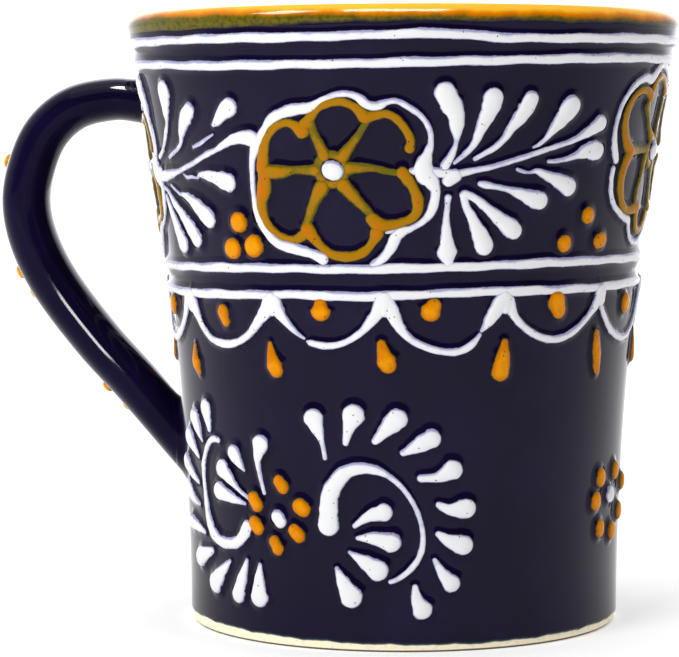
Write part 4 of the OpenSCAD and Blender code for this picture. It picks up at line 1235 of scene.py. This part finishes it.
class MUG_OT_handle(bpy.types.Operator):
    """Pulls the handle: a rounded strap along its curve, slip round both joints, and dots on its back."""

    bl_idname = "mug.handle"
    bl_label = "Handle"

    def execute(self, context):
        sizes = context.scene.mug_sizes
        wall = Wall(sizes)
        strap = Strap(sizes, wall)
        turn = np.linspace(0, 2 * np.pi, STRAP_COLUMNS, endpoint=False)[None]
        share = np.linspace(0, 1, STRAP_ROWS)[:, None]
        tube = strap.point(share, turn, 0.0)
        ends = [np.broadcast_to(tube[k].mean(0), tube[k].shape)[None] for k in (0, -1)]
        patch = Patch(np.concatenate([ends[0], tube, ends[1]]), wrap_columns=True)
        upper = joint(strap, wall, UPPER_LUTE_SHARE * sizes.lute_spread, UPPER_JOINT_SHARES, True)
        lower = joint(strap, wall, sizes.lute_spread, LOWER_JOINT_SHARES, False)
        dots = []
        for along, aside in HANDLE_DOT_SHARES:
            spot = Spot(strap, along, aside * np.pi / 2, sizes.handle_dot)
            dots.append(trail(HANDLE_DOT_STROKE_SHARES, spot, sizes))
        glaze = navy("handle_gloss", HANDLE_GLOSS)
        pieces = (
            add_piece("strap_handle", [patch], glaze, "navy_glaze", "handle"),
            add_piece("upper_joint", [upper], glaze, "navy_glaze", "handle_upper_lute"),
            add_piece("lower_joint", [lower], glaze, "navy_glaze", "handle_lower_lute"),
            # The handle dots take the golden slip: amber painted lighter, as painted light.
            add_slip("dots_of_handle", dots, "lit_amber", "handle_dots"),
        )
        for piece in pieces:
            piece.visible_glossy = False
        return {"FINISHED"}


class MUG_OT_lines(bpy.types.Operator):
    """Trails the four encircling lines: closed beads whose height and width waver round the cup."""

    bl_idname = "mug.lines"
    bl_label = "Encircling lines"

    def execute(self, context):
        sizes = context.scene.mug_sizes
        wall = Wall(sizes)
        lines = {"upper_rim_line": UPPER_RIM_SHARES, "lower_rim_line": LOWER_RIM_SHARES,
                 "upper_waist_line": UPPER_WAIST_SHARES, "lower_waist_line": LOWER_WAIST_SHARES}
        share = np.linspace(0, 1, LINE_POINTS, endpoint=False)
        angle = 2 * np.pi * share - np.pi
        for number, (node, shares) in enumerate(lines.items()):
            height = height_of(node)
            band = Band(wall, 0, height, 1.0)
            wave = steps(shares, share) + waves(((.04, 31, number),), angle)
            swell = waves(((.06, 9, 1.1 * number), (.05, 23, number)), angle)
            rows = np.stack([angle * wall.radius(height), wave * sizes.line_width,
                             sizes.line_width * (.5 + .5 * swell)], axis=-1)
            add_slip(node.replace("line", "bead"), [ring_line(rows, band, sizes)], "white", node)
        return {"FINISHED"}


class MUG_OT_garland(bpy.types.Operator):
    """Trails the garland under the waist: swags, a dot in each, a drop under each meeting of two swags."""

    bl_idname = "mug.garland"
    bl_label = "Garland"

    def execute(self, context):
        sizes = context.scene.mug_sizes
        wall = Wall(sizes)
        unit = sizes.garland_unit
        height = height_of("lower_waist_line")
        front = [Band(wall, GARLAND_DEGREES, height, unit)]
        back = [Band(wall, BACK_SWAG_DEGREES + number * BACK_SWAG_STEP_DEGREES, height, unit)
                for number in range(BACK_SWAGS)]
        add_motifs(sizes, (
            ("swags", "white", "garland_swags",
             ((SWAG_SHARES + SWAG_CUSP_SHARES, front), (BACK_SWAG_SHARES, back))),
            ("dots_of_garland", "amber", "garland_dots",
             ((SWAG_DOT_SHARES, front), (BACK_DOT_SHARES, back[:-1]))),
            ("drops_of_garland", "amber", "garland_drops",
             ((SWAG_DROP_SHARES, front), (BACK_DROP_SHARES, back))),
        ))
        return {"FINISHED"}


class MUG_OT_flowers(bpy.types.Operator):
    """Trails the four flowers: white outlines, ochre petals and spokes, white centres."""

    bl_idname = "mug.flowers"
    bl_label = "Flowers"

    def execute(self, context):
        sizes = context.scene.mug_sizes
        wall = Wall(sizes)
        lists = {part: [] for part in FLOWER_KINDS}
        for degrees in FLOWER_DEGREES:
            motif = SIDE_FLOWER if degrees == SIDE_FLOWER_DEGREES else FLOWER
            band = Band(wall, degrees, sizes.panel_height, sizes.panel_unit)
            for part, strokes in motif.items():
                lift = sizes.centre_lift if part == "centres" else 0.0
                lists[part] += trails(strokes, [band], sizes, lift)
            lists["spokes"].append(trail(hub(*motif["centres"][0][0][:2]), band, sizes))
        for part, kind in FLOWER_KINDS.items():
            add_slip(part + "_of_flowers", lists[part], kind, "flower_" + part)
        return {"FINISHED"}


class MUG_OT_sprays(bpy.types.Operator):
    """Trails the leaf sprays between the flowers: stems, leaves and dots in threes."""

    bl_idname = "mug.sprays"
    bl_label = "Leaf sprays"

    def execute(self, context):
        sizes = context.scene.mug_sizes
        wall = Wall(sizes)
        bands = [Band(wall, degrees, sizes.panel_height, sizes.panel_unit) for degrees in SPRAY_DEGREES]
        front = bands[:1]
        add_motifs(sizes, (
            ("stems_of_sprays", "white", "spray_stems",
             ((LEFT_STEM_SHARES, front), (RIGHT_STEM_SHARES, bands))),
            ("leaves_of_sprays", "white", "spray_leaves",
             ((LEFT_LEAF_SHARES, front), (RIGHT_LEAF_SHARES, bands))),
            ("dots_of_sprays", "amber", "triad_dots",
             ((LEFT_TRIAD_SHARES, front), (RIGHT_TRIAD_SHARES, bands))),
        ))
        return {"FINISHED"}


class MUG_OT_scrolls(bpy.types.Operator):
    """Trails the scrolls near the foot: curls, leaves outside and inside them, and dot rosettes."""

    bl_idname = "mug.scrolls"
    bl_label = "Scrolls"

    def execute(self, context):
        sizes = context.scene.mug_sizes
        wall = Wall(sizes)
        unit = sizes.scroll_unit
        height = sizes.scroll_height
        bands = [Band(wall, degrees, height, unit) for degrees in SCROLL_DEGREES]
        lone = [Band(wall, LONE_ROSETTE_DEGREES, height + LONE_ROSETTE_RISE, unit)]
        add_motifs(sizes, (
            ("curls_of_scrolls", "white", "scroll_curls", ((SCROLL_CURL_SHARES, bands),)),
            ("outer_leaves", "white", "scroll_outer_leaves", ((SCROLL_OUTER_SHARES, bands),)),
            ("inner_leaves", "white", "scroll_inner_leaves", ((SCROLL_INNER_SHARES, bands),)),
            ("dots_of_rosettes", "amber", "rosette_dots",
             ((ROSETTE_DOT_SHARES, bands), (LONE_DOT_SHARES, lone))),
            ("centres_of_rosettes", "white", "rosette_centres",
             ((ROSETTE_CENTRE_SHARES, bands), (LONE_CENTRE_SHARES, lone))),
        ))
        return {"FINISHED"}


def add_light(name, place, target, width, depth, watts, glossy):
    """A soft area light at a place, turned to a target, seen or not seen in the gloss."""
    data = bpy.data.lights.new(name, "AREA")
    data.shape = "RECTANGLE"
    data.size = width
    data.size_y = depth
    data.energy = watts
    made = bpy.data.objects.new(name, data)
    bpy.context.scene.collection.objects.link(made)
    made.location = place
    aim = np.array(target) - np.array(place)
    flat = math.hypot(aim[0], aim[1])
    made.rotation_euler = (math.atan2(flat, -aim[2]), 0, math.atan2(-aim[0], aim[1]))
    made.visible_camera = False
    made.visible_glossy = glossy
    return made


def add_streak(name, shape, place, target, width, depth, watts, spread, spin, pieces):
    """A light seen only in the gloss of the pieces named, and shaded only by them."""
    streak = add_light(name, place, target, width, depth, watts, True)
    streak.visible_diffuse = False
    streak.data.shape = shape
    streak.data.spread = math.radians(spread)
    streak.rotation_euler.rotate_axis("Z", math.radians(spin))
    lit = bpy.data.collections.new(name + "_pieces")
    for piece in pieces:
        lit.objects.link(bpy.data.objects[piece])
    streak.light_linking.receiver_collection = lit
    streak.light_linking.blocker_collection = lit


def curtain(start, end, fade, radius, low, high):
    """An upright card bent round the mug from one angle to another, its edge number rising at both ends."""
    angle = np.linspace(start, end, CARD_COLUMNS)[:, None]
    up = np.linspace(low, high, CARD_ROWS)[None]
    turn = np.radians(angle)
    points = np.stack(np.broadcast_arrays(radius * np.sin(turn), -radius * np.cos(turn), up), axis=-1)
    return Patch(points, np.clip(1 - np.minimum(angle - start, end - angle) / fade, 0, 1))


class MUG_OT_stage(bpy.types.Operator):
    """Sets the pale floor, a dark screen before the mug, a glow behind it, world, lights and camera."""

    bl_idname = "mug.stage"
    bl_label = "Stage"

    def execute(self, context):
        scene = context.scene
        line = np.linspace(-FLOOR_HALF, FLOOR_HALF, STAGE_COUNT)
        across, deep = np.meshgrid(line, line, indexing="ij")
        plane = np.stack([across, deep, np.zeros_like(across)], axis=-1)
        floor = build_mesh("floor", [Patch(plane)], floor_material(scene.mug_colours))
        dark = card_material("stage_screen", (.002, .002, .003), (.004, .004, .006), 0)
        bright = card_material("stage_glow", (.90, .90, 1), (.94, .94, 1), GLOW_STRENGTH)
        screen = build_mesh("screen", [curtain(*SCREEN)], dark)
        glow = build_mesh("glow", [curtain(*GLOW)], bright)
        for card in (screen, glow):
            card.visible_camera = False
        glow.visible_diffuse = False
        glow.visible_shadow = False
        world = bpy.data.worlds.new("studio")
        world.use_nodes = True
        world.node_tree.nodes["Background"].inputs["Color"].default_value = (1, 1, 1, 1)
        world.node_tree.nodes["Background"].inputs["Strength"].default_value = 1.0
        scene.world = world
        add_light(*OVERHEAD)
        for row in STREAKS:
            add_streak(*row)
        add_light(*FILL)
        data = bpy.data.cameras.new("camera")
        data.lens = CAMERA_LENS
        data.sensor_width = CAMERA_SENSOR
        data.clip_start = CAMERA_NEAR
        camera = bpy.data.objects.new("camera", data)
        scene.collection.objects.link(camera)
        camera.location = CAMERA_PLACE
        camera.rotation_euler = [math.radians(angle) for angle in CAMERA_DEGREES]
        scene.camera = camera
        scene.view_settings.view_transform = "Standard"
        return {"FINISHED"}


class MUG_PT_panel(bpy.types.Panel):
    """Lists the mug's sizes, colours and building steps in the sidebar."""

    bl_idname = "MUG_PT_panel"
    bl_label = "Clay mug"
    bl_space_type = "VIEW_3D"
    bl_region_type = "UI"
    bl_category = "Mug"

    def draw(self, context):
        for group in (context.scene.mug_sizes, context.scene.mug_colours):
            for name in group.bl_rna.properties.keys():
                if name not in {"rna_type", "name"}:
                    self.layout.prop(group, name)
        for step in BUILD_STEPS:
            self.layout.operator(step.bl_idname)


BUILD_STEPS = (
    MUG_OT_clay, MUG_OT_glazes, MUG_OT_lip, MUG_OT_handle, MUG_OT_lines, MUG_OT_garland, MUG_OT_flowers,
    MUG_OT_sprays, MUG_OT_scrolls, MUG_OT_stage,
)
CLASSES = (MugSizes, MugColours, *BUILD_STEPS, MUG_PT_panel)


def register():
    """Adds the classes and the two property groups."""
    for cls in CLASSES:
        bpy.utils.register_class(cls)
    bpy.types.Scene.mug_sizes = PointerProperty(type=MugSizes)
    bpy.types.Scene.mug_colours = PointerProperty(type=MugColours)


def unregister():
    """Takes the classes and the two property groups away again."""
    del bpy.types.Scene.mug_colours
    del bpy.types.Scene.mug_sizes
    for cls in reversed(CLASSES):
        bpy.utils.unregister_class(cls)


def main():
    """Builds the mug step by step."""
    register()
    bpy.ops.mug.clay()
    bpy.ops.mug.glazes()
    bpy.ops.mug.lip()
    bpy.ops.mug.handle()
    bpy.ops.mug.lines()
    bpy.ops.mug.garland()
    bpy.ops.mug.flowers()
    bpy.ops.mug.sprays()
    bpy.ops.mug.scrolls()
    bpy.ops.mug.stage()


if __name__ == "__main__":
    main()
